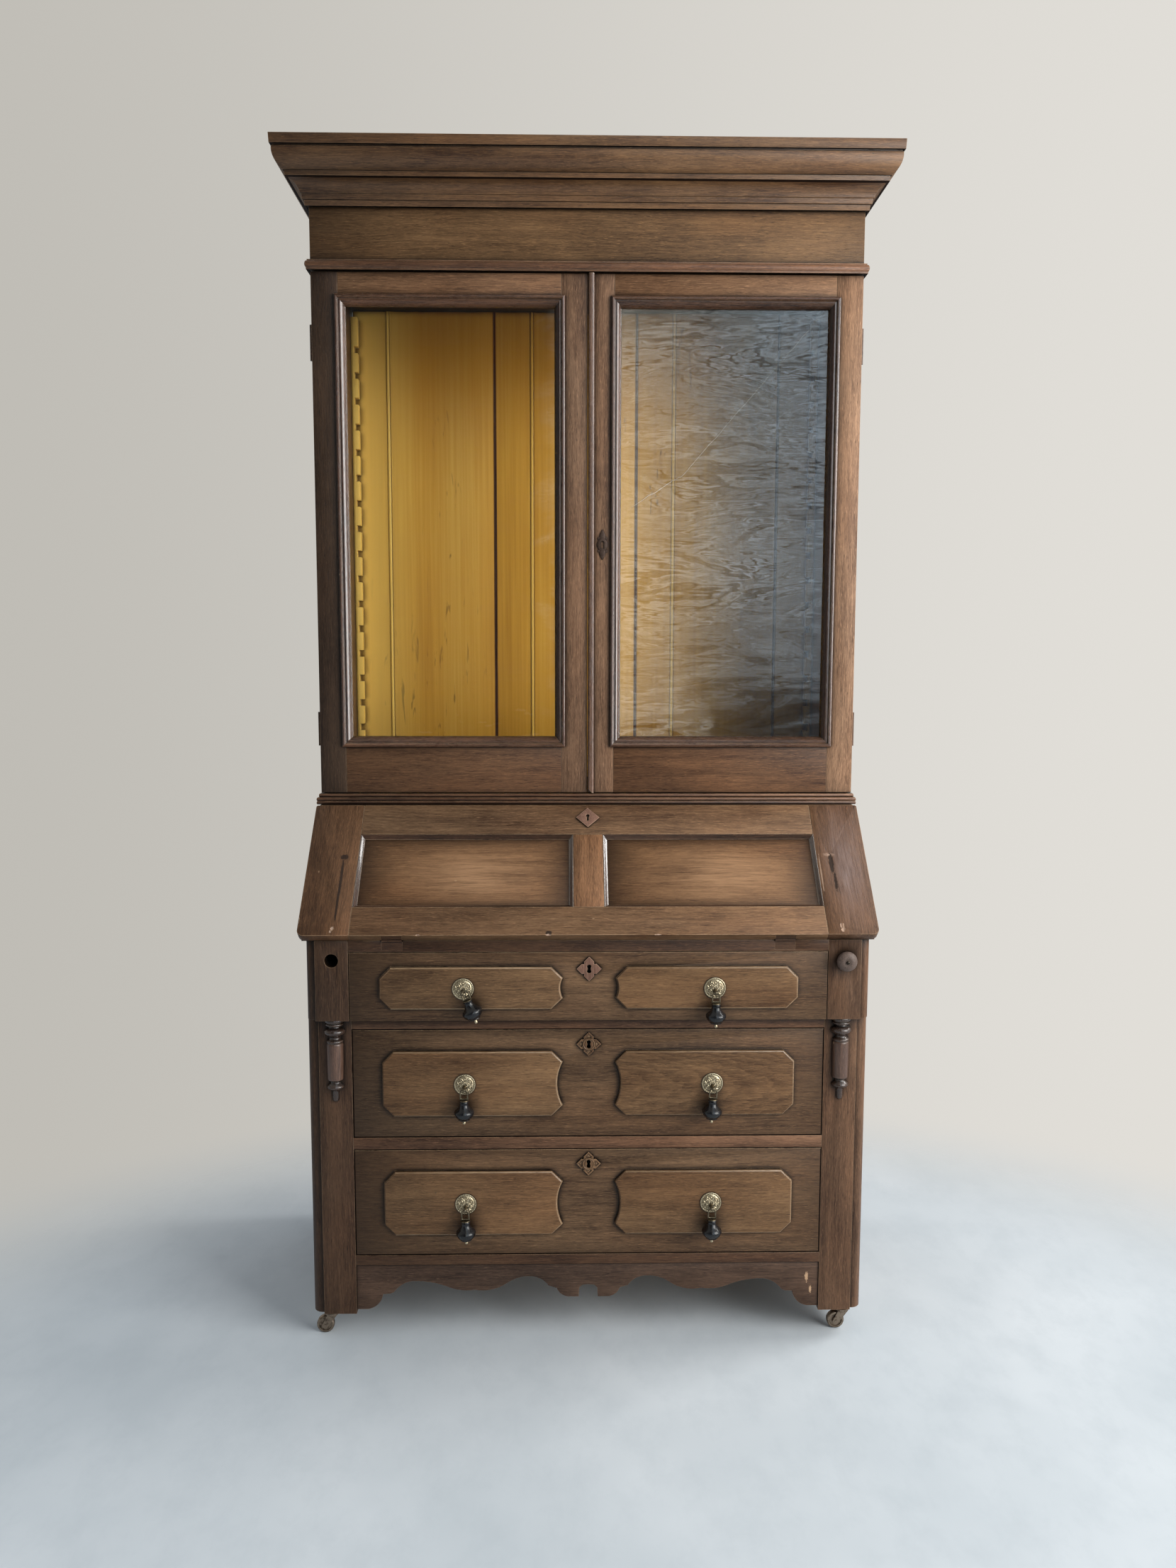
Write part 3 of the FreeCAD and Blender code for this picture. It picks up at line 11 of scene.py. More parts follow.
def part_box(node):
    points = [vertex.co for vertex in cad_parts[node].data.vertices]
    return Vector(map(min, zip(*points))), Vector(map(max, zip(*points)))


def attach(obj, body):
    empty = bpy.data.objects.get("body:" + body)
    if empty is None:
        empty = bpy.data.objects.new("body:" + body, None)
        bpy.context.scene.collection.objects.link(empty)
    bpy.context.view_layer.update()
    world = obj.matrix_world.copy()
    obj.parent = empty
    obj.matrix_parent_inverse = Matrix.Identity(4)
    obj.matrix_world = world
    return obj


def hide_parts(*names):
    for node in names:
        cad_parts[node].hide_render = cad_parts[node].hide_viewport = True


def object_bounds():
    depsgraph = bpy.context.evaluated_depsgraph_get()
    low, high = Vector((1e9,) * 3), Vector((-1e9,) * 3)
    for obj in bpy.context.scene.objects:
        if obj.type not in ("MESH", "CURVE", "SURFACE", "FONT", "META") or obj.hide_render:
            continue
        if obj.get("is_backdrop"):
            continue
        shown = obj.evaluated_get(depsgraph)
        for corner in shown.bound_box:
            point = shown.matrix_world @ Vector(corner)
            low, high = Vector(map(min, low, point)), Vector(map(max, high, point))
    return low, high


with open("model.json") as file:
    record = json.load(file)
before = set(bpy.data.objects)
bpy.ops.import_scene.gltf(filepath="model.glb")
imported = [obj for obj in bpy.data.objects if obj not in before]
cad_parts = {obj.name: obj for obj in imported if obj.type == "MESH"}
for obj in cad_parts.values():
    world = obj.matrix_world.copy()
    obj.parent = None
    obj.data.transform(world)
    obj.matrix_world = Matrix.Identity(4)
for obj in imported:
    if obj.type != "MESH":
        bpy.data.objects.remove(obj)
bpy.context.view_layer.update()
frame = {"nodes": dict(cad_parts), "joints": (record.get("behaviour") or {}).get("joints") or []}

MM = 0.001
DOOR_FACE, DOOR_BACK = (corner.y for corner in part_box("left_door_frame"))
CASE_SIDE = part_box("bookcase_sides")[1].x
BOARD = 20 * MM


# ---------------------------------------------------------------- the camera

def set_camera():
    """The eye stands before the desk, a little left of its middle, and looks slightly down."""
    lens = bpy.data.cameras.new("room_camera")
    lens.sensor_width = 36
    lens.lens = 26.88
    lens.clip_end = 60
    camera = bpy.data.objects.new("room_camera", lens)
    bpy.context.scene.collection.objects.link(camera)
    camera.location = (-0.0408, -2.2592, 1.2378)
    camera.rotation_euler = (math.radians(90 - 5.906), math.radians(-0.098), math.radians(-1.075))
    bpy.context.scene.camera = camera


set_camera()


# ---------------------------------------------------------------- bench tools

def clear():
    bpy.ops.object.select_all(action="DESELECT")


def hold(piece):
    clear()
    piece.select_set(True)
    bpy.context.view_layer.objects.active = piece


def settle(piece):
    """Put a piece's place, turn and size into its mesh."""
    hold(piece)
    bpy.ops.object.transform_apply(location=True, rotation=True, scale=True)


def open_up(piece, kind="FACE"):
    hold(piece)
    bpy.ops.object.mode_set(mode="EDIT")
    bpy.ops.mesh.select_mode(type=kind)
    bpy.ops.mesh.select_all(action="DESELECT")


def close_up():
    bpy.ops.object.mode_set(mode="OBJECT")


def outwards():
    """Turn every face of the open piece outwards, and close it."""
    pick_all()
    bpy.ops.mesh.normals_make_consistent(inside=False)
    close_up()


def pick(piece, kind, test):
    """Select the faces, edges or verts that pass a test, and nothing else."""
    bpy.ops.mesh.select_all(action="DESELECT")
    mesh = bmesh.from_edit_mesh(piece.data)
    for item in getattr(mesh, kind):
        if test(item):
            item.select_set(True)
    bmesh.update_edit_mesh(piece.data)


def pick_faces(piece, test):
    """test(centre, normal)"""
    pick(piece, "faces", lambda face: test(face.calc_center_median(), face.normal))


def pick_edges(piece, test):
    """test(one end, other end)"""
    pick(piece, "edges", lambda edge: test(edge.verts[0].co, edge.verts[1].co))


def pick_all():
    bpy.ops.mesh.select_all(action="SELECT")


def modify(piece, kind, **settings):
    hold(piece)
    modifier = piece.modifiers.new(kind.lower(), kind)
    for key, value in settings.items():
        setattr(modifier, key, value)
    bpy.ops.object.modifier_apply(modifier=modifier.name)


def smooth(piece, angle=30):
    hold(piece)
    bpy.ops.object.shade_smooth_by_angle(angle=math.radians(angle), keep_sharp_edges=False)


def join(name, pieces):
    clear()
    for piece in pieces:
        piece.select_set(True)
    bpy.context.view_layer.objects.active = pieces[0]
    if len(pieces) > 1:
        bpy.ops.object.join()
    pieces[0].name = name
    return pieces[0]


def twin(piece, name, move=(0, 0, 0)):
    """Another of the same, moved."""
    other = bpy.data.objects.new(name, piece.data.copy())
    bpy.context.scene.collection.objects.link(other)
    other.data.transform(Matrix.Translation(move))
    return other


def ease(piece, width, steps=2, angle=32):
    """Round the arrises a little, as hand and rag leave them."""
    modify(piece, "BEVEL", width=width, segments=steps, limit_method="ANGLE",
           angle_limit=math.radians(angle), use_clamp_overlap=True, miter_outer="MITER_ARC")


def board(name, low, high, round_by=0.8 * MM, steps=2):
    clear()
    middle = [(a + b) / 2 for a, b in zip(low, high)]
    bpy.ops.mesh.primitive_cube_add(size=1, location=middle, scale=[b - a for a, b in zip(low, high)])
    piece = bpy.context.object
    piece.name = name
    settle(piece)
    if round_by:
        open_up(piece, "EDGE")
        pick_all()
        bpy.ops.mesh.bevel(offset=round_by, segments=steps, affect="EDGES")
        close_up()
    return piece


def rod(name, sides, radius, depth, place=(0, 0, 0), turn=(0, 0, 0)):
    """A cylinder, radius and depth in mm, turned in degrees and then put in its place."""
    clear()
    bpy.ops.mesh.primitive_cylinder_add(vertices=sides, radius=radius * MM, depth=depth * MM, location=place,
                                        rotation=[math.radians(angle) for angle in turn])
    piece = bpy.context.object
    piece.name = name
    settle(piece)
    return piece


def apart(node, name, which=None):
    """Copies of a node's boards, each one merged into a closed piece.

    which(point) names the board that a point lies in.
    """
    source = frame["nodes"][node].data
    whole = bpy.data.objects.new(name, source.copy())
    bpy.context.scene.collection.objects.link(whole)
    whole.data.materials.clear()
    kinds = [None]
    if which:
        inside = {}
        for face in source.polygons:
            inside.setdefault(which(face.center - face.normal * 0.3 * MM), set()).add(face.index)
        kinds = sorted(inside)
    found = []
    for kind in kinds:
        piece = whole
        if which:
            piece = bpy.data.objects.new(f"{name}_{kind}", whole.data.copy())
            bpy.context.scene.collection.objects.link(piece)
        open_up(piece)
        if which:
            mesh = bmesh.from_edit_mesh(piece.data)
            mesh.faces.ensure_lookup_table()
            for face in mesh.faces:
                face.select_set(face.index not in inside[kind])
            bmesh.update_edit_mesh(piece.data)
            bpy.ops.mesh.delete(type="FACE")
        pick_all()
        bpy.ops.mesh.customdata_custom_splitnormals_clear()
        bpy.ops.mesh.remove_doubles(threshold=0.005 * MM)
        bpy.ops.mesh.dissolve_limited(angle_limit=math.radians(0.4))
        close_up()
        found.append(piece)
    if which:
        bpy.data.objects.remove(whole)
    return found


def eased(node, name, width=0.8 * MM, which=None, steps=2):
    """A node's boards again, with rounded arrises."""
    found = apart(node, name, which)
    for piece in found:
        ease(piece, width, steps)
    return join(name, found)


def turned(name, rings, sides=48, foot=0):
    """Turned on a lathe about an upright axis. rings are (height over the foot, radius) in mm, end to end."""
    clear()
    height, radius = rings[0]
    bpy.ops.mesh.primitive_circle_add(vertices=sides, radius=radius * MM, fill_type="NGON",
                                      location=(0, 0, (foot + height) * MM))
    piece = bpy.context.object
    piece.name = name
    settle(piece)
    open_up(piece)
    pick_all()
    for above, wide in rings[1:]:
        bpy.ops.mesh.extrude_region_move(TRANSFORM_OT_translate={"value": (0, 0, (above - height) * MM)})
        bpy.ops.transform.resize(value=(wide / radius, wide / radius, 1),
                                 center_override=(0, 0, (foot + above) * MM))
        height, radius = above, wide
    outwards()
    return piece


def lay(piece, turn=(0, 0, 0), move=(0, 0, 0)):
    """Turn a piece about the origin, in degrees, and then move it."""
    piece.rotation_euler = [math.radians(a) for a in turn]
    piece.location = move
    settle(piece)
    return piece


# ---------------------------------------------------------------- finishes

class Finish:
    """The nodes of a material, or of the room round the desk."""

    def __init__(self, name, room=False):
        self.material = (bpy.data.worlds if room else bpy.data.materials).new(name)
        self.material.use_nodes = True
        self.tree = self.material.node_tree
        self.tree.nodes.clear()
        self.out = self.add("OutputWorld" if room else "OutputMaterial")
        self.place = self.add("TexCoord").outputs["Generated" if room else "Object"]

    def add(self, kind, sockets=None, **settings):
        node = self.tree.nodes.new("ShaderNode" + kind)
        for key, value in settings.items():
            setattr(node, key, value)
        for key, value in (sockets or {}).items():
            if isinstance(value, bpy.types.NodeSocket):
                self.tree.links.new(value, node.inputs[key])
            else:
                node.inputs[key].default_value = value
        return node

    def stretch(self, scale, shift=(0, 0, 0), place=None):
        return self.add("Mapping", {"Vector": place or self.place, "Scale": scale,
                                    "Location": shift}).outputs[0]

    def noise(self, vector, scale=1.0, detail=3.0, rough=0.55, warp=0.0):
        return self.add("TexNoise", {"Vector": vector, "Scale": scale, "Detail": detail, "Roughness": rough,
                                     "Distortion": warp}).outputs["Fac"]

    def ramp(self, value, *stops):
        """stops are (place, colour or grey)."""
        node = self.add("ValToRGB", {"Fac": value})
        band = node.color_ramp
        while len(band.elements) < len(stops):
            band.elements.new(0.5)
        for stop, (place, colour) in zip(band.elements, stops):
            stop.position = place
            stop.color = colour if isinstance(colour, tuple) else (colour, colour, colour, 1)
        return node.outputs["Color"]

    def span(self, value, low, high, start=0.0, end=1.0, soft=False):
        return self.add("MapRange", {"Value": value, "From Min": low, "From Max": high, "To Min": start,
                                     "To Max": end},
                        interpolation_type="SMOOTHSTEP" if soft else "LINEAR").outputs[0]

    def sum(self, operation, a, b=0.5, c=0.5):
        return self.add("Math", {0: a, 1: b, 2: c}, operation=operation).outputs[0]

    def plus(self, a, b):
        return self.sum("ADD", a, b)

    def times(self, a, b):
        return self.sum("MULTIPLY", a, b)

    def mix(self, share, a, b, way="MIX"):
        node = self.add("Mix", data_type="RGBA", blend_type=way)
        for key, value in (("Factor_Float", share), ("A_Color", a), ("B_Color", b)):
            socket = next(s for s in node.inputs if s.identifier == key)
            if isinstance(value, bpy.types.NodeSocket):
                self.tree.links.new(value, socket)
            else:
                socket.default_value = value
        return next(s for s in node.outputs if s.identifier == "Result_Color")

    def bump(self, height, depth, strength=1.0):
        return self.add("Bump", {"Height": height, "Distance": depth, "Strength": strength}).outputs[0]

    def axes(self, vector=None):
        return self.add("SeparateXYZ", {0: vector or self.place}).outputs

    def vector(self, operation, a, b=(0, 0, 0)):
        """b is another vector, or the number to scale by."""
        key = "Scale" if operation == "SCALE" else 1
        return self.add("VectorMath", {0: a, key: b}, operation=operation).outputs[0]

    def about(self, centre, reach):
        """Coordinates that are 0 at a centre and 1 at its reach."""
        return self.add("Mapping", {"Vector": self.place, "Location": centre, "Scale": reach},
                        vector_type="TEXTURE").outputs[0]

    def ball(self, centre, reach, kind="SPHERICAL"):
        return self.add("TexGradient", {"Vector": self.about(centre, reach)},
                        gradient_type=kind).outputs["Fac"]

    def hollow(self, distance, samples=6):
        """1 on open wood, less in corners."""
        return self.add("AmbientOcclusion", {"Distance": distance}, samples=samples).outputs["AO"]

    def blend(self, share, first, second):
        return self.add("MixShader", {0: share, 1: first, 2: second}).outputs[0]

    def surface(self, shader):
        self.tree.links.new(shader, self.out.inputs["Surface"])

    def shader(self, **sockets):
        self.surface(self.add("BsdfPrincipled", sockets).outputs[0])


def rgb(red, green, blue):
    """A colour as the eye sees it, 0 to 255, for a shader."""
    found = []
    for value in (red, green, blue):
        value /= 255
        found.append(value / 12.92 if value <= 0.04045 else ((value + 0.055) / 1.055) ** 2.4)
    return (*found, 1)


def tinted(colour, strength):
    return (*(min(1, value * strength) for value in colour[:3]), 1)


GRAIN = {"x": (1, 0, 0), "y": (0, 1, 0), "z": (0, 0, 1)}


def along(grain, fine, long):
    """Texture scale for wood whose grain runs along an axis."""
    return [long if a else fine for a in GRAIN[grain]]


def walnut(name, grain, dark, light, seed=0.0, worn=0.6, rough=0.42, glow=None, shade=None, marks=(),
           edge=1.5 * MM, gloss=0.22, figure=None, dust=0.8, halo=0.03, tilt=0.0, fade=(), coat=0.0,
           planks=True, seam=0.0):
    """Old oiled walnut: mottled ground, streaks, pores, painted shade and dirt in the corners, and pale, worn
    arrises with a painted highlight on top.

    grain is the axis that the grain runs along, dark and light are the wood's colours, 0 to 255.
    glow is (centre, reach, colour): a paler place, rubbed by use; on the fall front's right stile it is a
    painted sheen.
    shade is (centre, reach): darker towards its edges.
    marks are (centre, reach, colour, raggedness): scars and stains.
    figure is (centre, reach): flame figure, in nested waves.
    tilt turns the grain about the desk's width, in degrees, for boards on a slope.
    fade is (x, strength) stops along the desk's width: painted light, darker to the left and brighter to the
    right, with some tone from board to board.
    planks is True where each board's wood is another, and the boards' meshes are whole.
    seam is how far a black line of painted shade and dirt reaches out of a corner.
    """
    f = Finish(name)
    dark, light = rgb(*dark), rgb(*light)
    shift = (seed, seed * 1.7, seed * 0.6)
    shape = f.add("NewGeometry")
    plank = f.add("Mapping", {"Vector": f.place, "Rotation": (math.radians(tilt), 0, 0)}).outputs[0]
    if planks:
        turn = f.times(shape.outputs["Random Per Island"], 9.0)
        plank = f.vector("ADD", plank, f.add("CombineXYZ", {0: turn, 1: turn, 2: turn}).outputs[0])
    drift = f.noise(f.stretch(along(grain, 9, 3), shift, plank), 1, 2)
    sideways = {i: 0.0 if runs else f.times(drift, 0.02) for i, runs in enumerate(GRAIN[grain])}
    wander = f.vector("ADD", plank, f.add("CombineXYZ", sideways).outputs[0])
    cloud = f.noise(f.stretch(along(grain, 12, 4), shift, plank), 1, 4, 0.6)
    band = f.noise(f.stretch(along(grain, 70, 2.2), shift, wander), 1, 3, 0.6)
    streak = f.noise(f.stretch(along(grain, 420, 17), shift, wander), 1, 3, 0.65)
    fibre = f.noise(f.stretch(along(grain, 1000, 55), shift, wander), 1, 3, 0.75)
    pore = f.noise(f.stretch(along(grain, 1150, 85), (seed + 5, seed, 3), wander), 1, 2, 0.5)
    tone = f.times(f.span(cloud, 0.32, 0.68), 0.24)
    for layer, low, high, share in ((band, 0.25, 0.75, 0.17), (streak, 0.22, 0.78, 0.30),
                                    (fibre, 0.22, 0.78, 0.29)):
        tone = f.plus(tone, f.times(f.span(layer, low, high), share))
    if figure:
        across, _, up = f.axes(f.about(*figure))
        arch = f.times(f.times(up, up), 1.1)
        waver = f.noise(f.stretch((26, 26, 60), shift), 1, 3, 0.6)
        arch = f.plus(f.plus(arch, across), f.times(waver, 1.7))
        ring = f.sum("FRACT", arch)
        faint = f.times(f.span(ring, 0.0, 0.8, -0.09, 0.02), f.span(ring, 1.0, 0.93))
        tone = f.plus(tone, f.times(faint, f.span(across, -3.4, -2.2)))
    middle = tuple(x * 0.5 + y * 0.42 for x, y in zip(dark, light))
    colour = f.ramp(tone, (0.14, tinted(dark, 0.72)), (0.3, dark), (0.52, middle), (0.84, light))
    colour = f.mix(f.span(pore, 0.60, 0.70, 0, 0.6), colour, tinted(dark, 0.3))
    colour = f.mix(f.span(pore, 0.40, 0.28, 0, 0.35), colour, tinted(light, 1.7))
    redness = f.noise(f.stretch(along(grain, 7, 2.2), (seed + 3, 1, seed), plank), 1, 3, 0.6)
    colour = f.mix(f.span(redness, 0.42, 0.66, 0, 0.55), colour, (1.0, 0.86, 0.76, 1), "MULTIPLY")
    # Painted light across the desk's width: darker to the left, brighter towards the window on the right,
    # with some tone from board to board.
    if fade:
        width = f.span(f.axes()[0], -0.56, 0.56)
        share = f.ramp(width, *[((x + 0.56) / 1.12, strength / 2) for x, strength in fade])
        colour = f.vector("SCALE", f.mix(1.0, colour, share, "MULTIPLY"), 2.0)
    if glow:
        centre, reach, warm = glow
        ball = f.ball(centre, reach, "QUADRATIC_SPHERE")
        uneven = f.span(f.plus(streak, band), 0.75, 1.25, 0.25, 1)
        patchy = f.times(f.span(ball, 0, 0.75), uneven)
        colour = f.mix(f.times(patchy, 0.8), colour, warm)
    if shade:
        across, deep, up = f.axes(f.vector("ABSOLUTE", f.about(*shade)))
        rim = f.sum("MAXIMUM", across, f.sum("MAXIMUM", deep, up))
        rim = f.plus(rim, f.times(f.sum("SUBTRACT", cloud, 0.5), 0.5))
        rim = f.plus(rim, f.times(f.sum("SUBTRACT", band, 0.5), 0.25))
        colour = f.mix(f.span(rim, 0.6, 1.04, 0, 0.72, True), colour, tinted(dark, 0.3))
    # Painted shade, with some dirt: darker near corners and recesses, as far as halo reaches.
    hollow = f.hollow(halo)
    colour = f.mix(f.span(hollow, 0.5, 0.985, 0.95, 0.0), colour, tinted(dark, 0.1))
    # A black line of painted shade and dirt out of each corner.
    if seam:
        colour = f.mix(f.span(f.hollow(seam), 0.5, 0.94, 0.95, 0.0), colour, tinted(dark, 0.06))
    rounded = f.add("Bevel", {"Radius": edge}, samples=4).outputs[0]
    facing = f.add("VectorMath", {0: rounded, 1: shape.outputs["Normal"]},
                   operation="DOT_PRODUCT").outputs["Value"]
    upward = f.axes(shape.outputs["Normal"])[2]
    ragged = f.noise(f.stretch((34, 34, 34), shift), 1, 5, 0.75)
    # Pale arrises: wear, and a painted highlight that is stronger on the upper arrises, where the light
    # catches them.
    rub_and_highlight = f.times(f.span(facing, 0.997, 0.95, 0, 1), f.span(ragged, 0.36, 0.52))
    rub_and_highlight = f.times(rub_and_highlight, f.span(hollow, 0.45, 0.75))
    rub_and_highlight = f.times(rub_and_highlight, f.span(upward, -0.5, 0.4, 0.35, 1))
    pale = tuple(min(1, x * 0.45 + y * 0.55) for x, y in zip(light, rgb(222, 190, 152)))
    colour = f.mix(f.times(rub_and_highlight, worn), colour, pale)
    if dust:
        fleck = f.add("TexVoronoi", {"Vector": f.stretch(along(grain, 21, 13), shift, plank), "Scale": 1.0})
        chosen = f.add("SeparateColor", {0: fleck.outputs["Color"]})
        reach = f.plus(fleck.outputs["Distance"], f.times(ragged, 0.05))
        speck = f.times(f.span(reach, 0.062, 0.05), f.span(chosen.outputs[0], 0.55, 0.6))
        ink = f.times(speck, f.span(chosen.outputs[1], 0.5, 0.52))
        colour = f.mix(f.times(speck, 0.45 * dust), colour, pale)
        colour = f.mix(f.times(ink, 0.9 * dust), colour, tinted(dark, 0.25))
    for centre, reach, tint, rag in marks:
        torn = f.noise(f.stretch((210, 210, 210), (seed, 3, 1)), 1, 5, 0.85)
        scar = f.plus(f.ball(centre, reach), f.times(f.sum("SUBTRACT", torn, 0.5), rag))
        colour = f.mix(f.span(scar, 0.34, 0.46, 0, 0.9), colour, tint)
    polish = f.span(f.plus(fibre, f.times(cloud, 0.6)), 0.5, 1.1, rough - 0.08, rough + 0.13)
    grainy = f.bump(f.sum("SUBTRACT", fibre, f.span(pore, 0.58, 0.72)), 0.22 * MM, 0.6)
    f.shader(**{"Base Color": colour, "Roughness": polish, "Normal": grainy, "Specular IOR Level": gloss,
                "Coat Weight": coat, "Coat Roughness": 0.08})
    return f.material


SCAR, BARE = rgb(40, 28, 21), rgb(196, 160, 126)

# The stops across the width below paint light on the case: darker to the left, brighter to the right.
posts_walnut = walnut("post_walnut", "z", (58, 39, 27), (128, 96, 72), 0.3,
                      fade=((-0.5, 0.58), (-0.43, 0.64), (0.43, 0.98), (0.5, 1.12)))
side_walnut = walnut("side_walnut", "z", (66, 44, 28), (140, 102, 70), 1.1)
# Below 1 all across and darker to the left: painted shade under the fall front.
rail_walnut = walnut("rail_walnut", "x", (56, 37, 26), (118, 86, 62), 2.3, fade=((-0.4, 0.7), (0.4, 0.95)))
mid_rail_walnut = walnut("drawer_rail_walnut", "x", (68, 46, 33), (146, 108, 81), 2.8,
                         fade=((-0.4, 0.8), (0.4, 1.05)))
frieze_walnut = walnut("frieze_walnut", "x", (74, 52, 32), (152, 115, 78), 3.7,
                       shade=((0.06, -0.04, 2.01), (0.6, 1, 0.2)))
cornice_walnut = walnut("cornice_walnut", "x", (64, 42, 26), (144, 107, 72), 4.9, gloss=0.4, rough=0.34,
                        fade=((-0.5, 0.68), (-0.2, 0.9), (0.1, 1.07), (0.5, 1.12)))
cornice_side_walnut = walnut("cornice_return_walnut", "y", (64, 42, 26), (142, 106, 72), 4.1)
turned_walnut = walnut("turned_shaft_walnut", "z", (58, 39, 31), (122, 92, 75), 6.3, rough=0.3, gloss=0.4,
                       worn=0.3, halo=0.01, coat=0.25)
# The beads are painted darker than the shaft: painted shade in their crevices.
shaded_bead_walnut = walnut("turned_bead_walnut", "z", (34, 23, 18), (88, 66, 53), 6.9, rough=0.22, gloss=0.5,
                    worn=0.5, halo=0.01, coat=0.35)
# Near-black walnut for undersides and gaps: painted shadow.
quirk_walnut = walnut("quirk_walnut", "x", (24, 15, 10), (48, 32, 22), 5.6, worn=0, dust=0, rough=0.6,
                      gloss=0.1)
# Pale walnut for the panel arrises that face the light: wear and a painted highlight.
worn_lit_arris_walnut = walnut("worn_arris_walnut", "x", (104, 79, 55), (180, 152, 118), 8.8, worn=1.0, rough=0.28,
                      gloss=0.5, halo=0.004, dust=0)
# The door stiles' stops paint a strong sheen on the right and deep shade on the far left.
stile_walnut = walnut("door_stile_walnut", "z", (66, 46, 33), (142, 111, 86), 7.7,
                      fade=((-0.5, 0.28), (-0.46, 0.36), (-0.45, 0.8), (-0.03, 1.44), (0.0, 1.3),
                            (0.03, 1.62), (0.44, 1.55), (0.462, 1.8), (0.5, 2.3)))
door_rail_walnut = walnut("door_rail_walnut", "x", (70, 48, 32), (150, 113, 82), 8.2,
                          fade=((-0.45, 1.16), (0.1, 1.34), (0.45, 1.4)))
door_foot_walnut = walnut("door_foot_rail_walnut", "x", (64, 42, 28), (138, 100, 70), 8.6,
                          fade=((-0.45, 0.8), (0.1, 1.0), (0.45, 1.1)))
moulding_walnut = walnut("door_moulding_walnut", "x", (44, 28, 20), (120, 84, 60), 9.4, rough=0.26, gloss=0.4,
                         halo=0.014)
moulding_upright = walnut("door_moulding_upright_walnut", "z", (46, 28, 21), (118, 82, 62), 9.9, rough=0.14,
                          gloss=0.7, halo=0.014, coat=0.7)
moulding_shaded = walnut("door_moulding_shaded_walnut", "z", (26, 16, 13), (66, 44, 35), 9.2, rough=0.2,
                         gloss=0.4, halo=0.014, worn=0.9)
waist_walnut = walnut("waist_moulding_walnut", "x", (60, 38, 26), (140, 98, 68), 4.4, gloss=0.4, rough=0.34,
                      worn=1.0, fade=((-0.5, 0.85), (0.1, 1.05), (0.5, 1.4)))
apron_walnut = walnut("apron_walnut", "x", (50, 36, 28), (108, 84, 68), 12.8,
                      marks=[((0.402, -0.21, 0.114), (0.005, 0.03, 0.016), BARE, 1.8),
                             ((0.409, -0.21, 0.09), (0.004, 0.03, 0.014), BARE, 1.9)])
inner_wood = walnut("inner_wood", "x", (120, 92, 58), (176, 140, 92), 13.5, worn=0.1, rough=0.6, dust=0)
inner_upright = walnut("inner_upright_wood", "z", (112, 84, 52), (168, 132, 86), 14.5, worn=0.1, rough=0.6,
                       dust=0)
inner_deep = walnut("inner_deep_wood", "y", (116, 88, 56), (170, 136, 90), 15.5, worn=0.1, rough=0.6,
                    dust=0, planks=False)


def ochre(name, seed, dark, middle, light):
    """Varnished pine, gone yellow ochre, with knots and dark streaks; painted shade towards the ceiling, to
    the right and in the corners, and painted light at the far left.
    """
    f = Finish(name)
    dark, middle, light = rgb(*dark), rgb(*middle), rgb(*light)
    shift = (seed, 0, seed * 0.7)
    cloud = f.noise(f.stretch((7, 7, 1.2), shift), 1, 3, 0.5)
    streak = f.noise(f.stretch((190, 60, 2.5), shift), 1, 3, 0.55)
    colour = f.ramp(f.plus(f.times(cloud, 0.6), f.times(streak, 0.4)),
                    (0.3, dark), (0.5, middle), (0.7, light))
    knot = f.noise(f.stretch((95, 95, 13), (seed + 2, 0, 1)), 1, 3, 0.6, 0.8)
    where = f.noise(f.stretch((6, 6, 1.6), (seed + 9, 4, 2)), 1, 1)
    mark = f.times(f.span(knot, 0.62, 0.7), f.span(where, 0.55, 0.66))
    colour = f.mix(f.times(mark, 0.8), colour, rgb(88, 52, 16))
    x, _, z = f.axes()
    # Painted shade: darker and browner towards the ceiling.
    ceiling_shade = f.plus(z, f.times(cloud, 0.12))
    colour = f.mix(f.span(ceiling_shade, 1.66, 2.0, 0, 0.5, True), colour, rgb(150, 88, 24))
    # Painted shade: darker to the right.
    colour = f.mix(f.span(x, 0.08, 0.36, 0, 0.75), colour, rgb(100, 74, 38))
    # Painted light: paler at the far left.
    colour = f.mix(f.span(x, -0.46, -0.34, 0.7, 0), colour, rgb(246, 206, 112))
    # Painted shade in the corners, with dark joint lines.
    colour = f.mix(f.span(f.hollow(0.014, 5), 0.4, 0.9, 0.85, 0.0), colour, rgb(70, 34, 12))
    f.shader(**{"Base Color": colour, "Roughness": f.span(streak, 0.3, 0.7, 0.3, 0.45),
                "Normal": f.bump(streak, 0.2 * MM, 0.4), "Specular IOR Level": 0.3})
    return f.material


back_ochre = ochre("ochre_boards", 0.4, (184, 128, 40), (208, 152, 55), (224, 174, 78))
strip_ochre = ochre("ochre_strips", 5.4, (184, 128, 40), (210, 156, 58), (228, 178, 84))
# Paler ochre on the beads: a painted highlight on their crests.
lit_bead_ochre = ochre("ochre_beads", 7.4, (206, 156, 64), (222, 174, 82), (236, 192, 104))
groove_ochre = ochre("ochre_grooves", 8.4, (70, 34, 14), (96, 50, 20), (120, 66, 28))

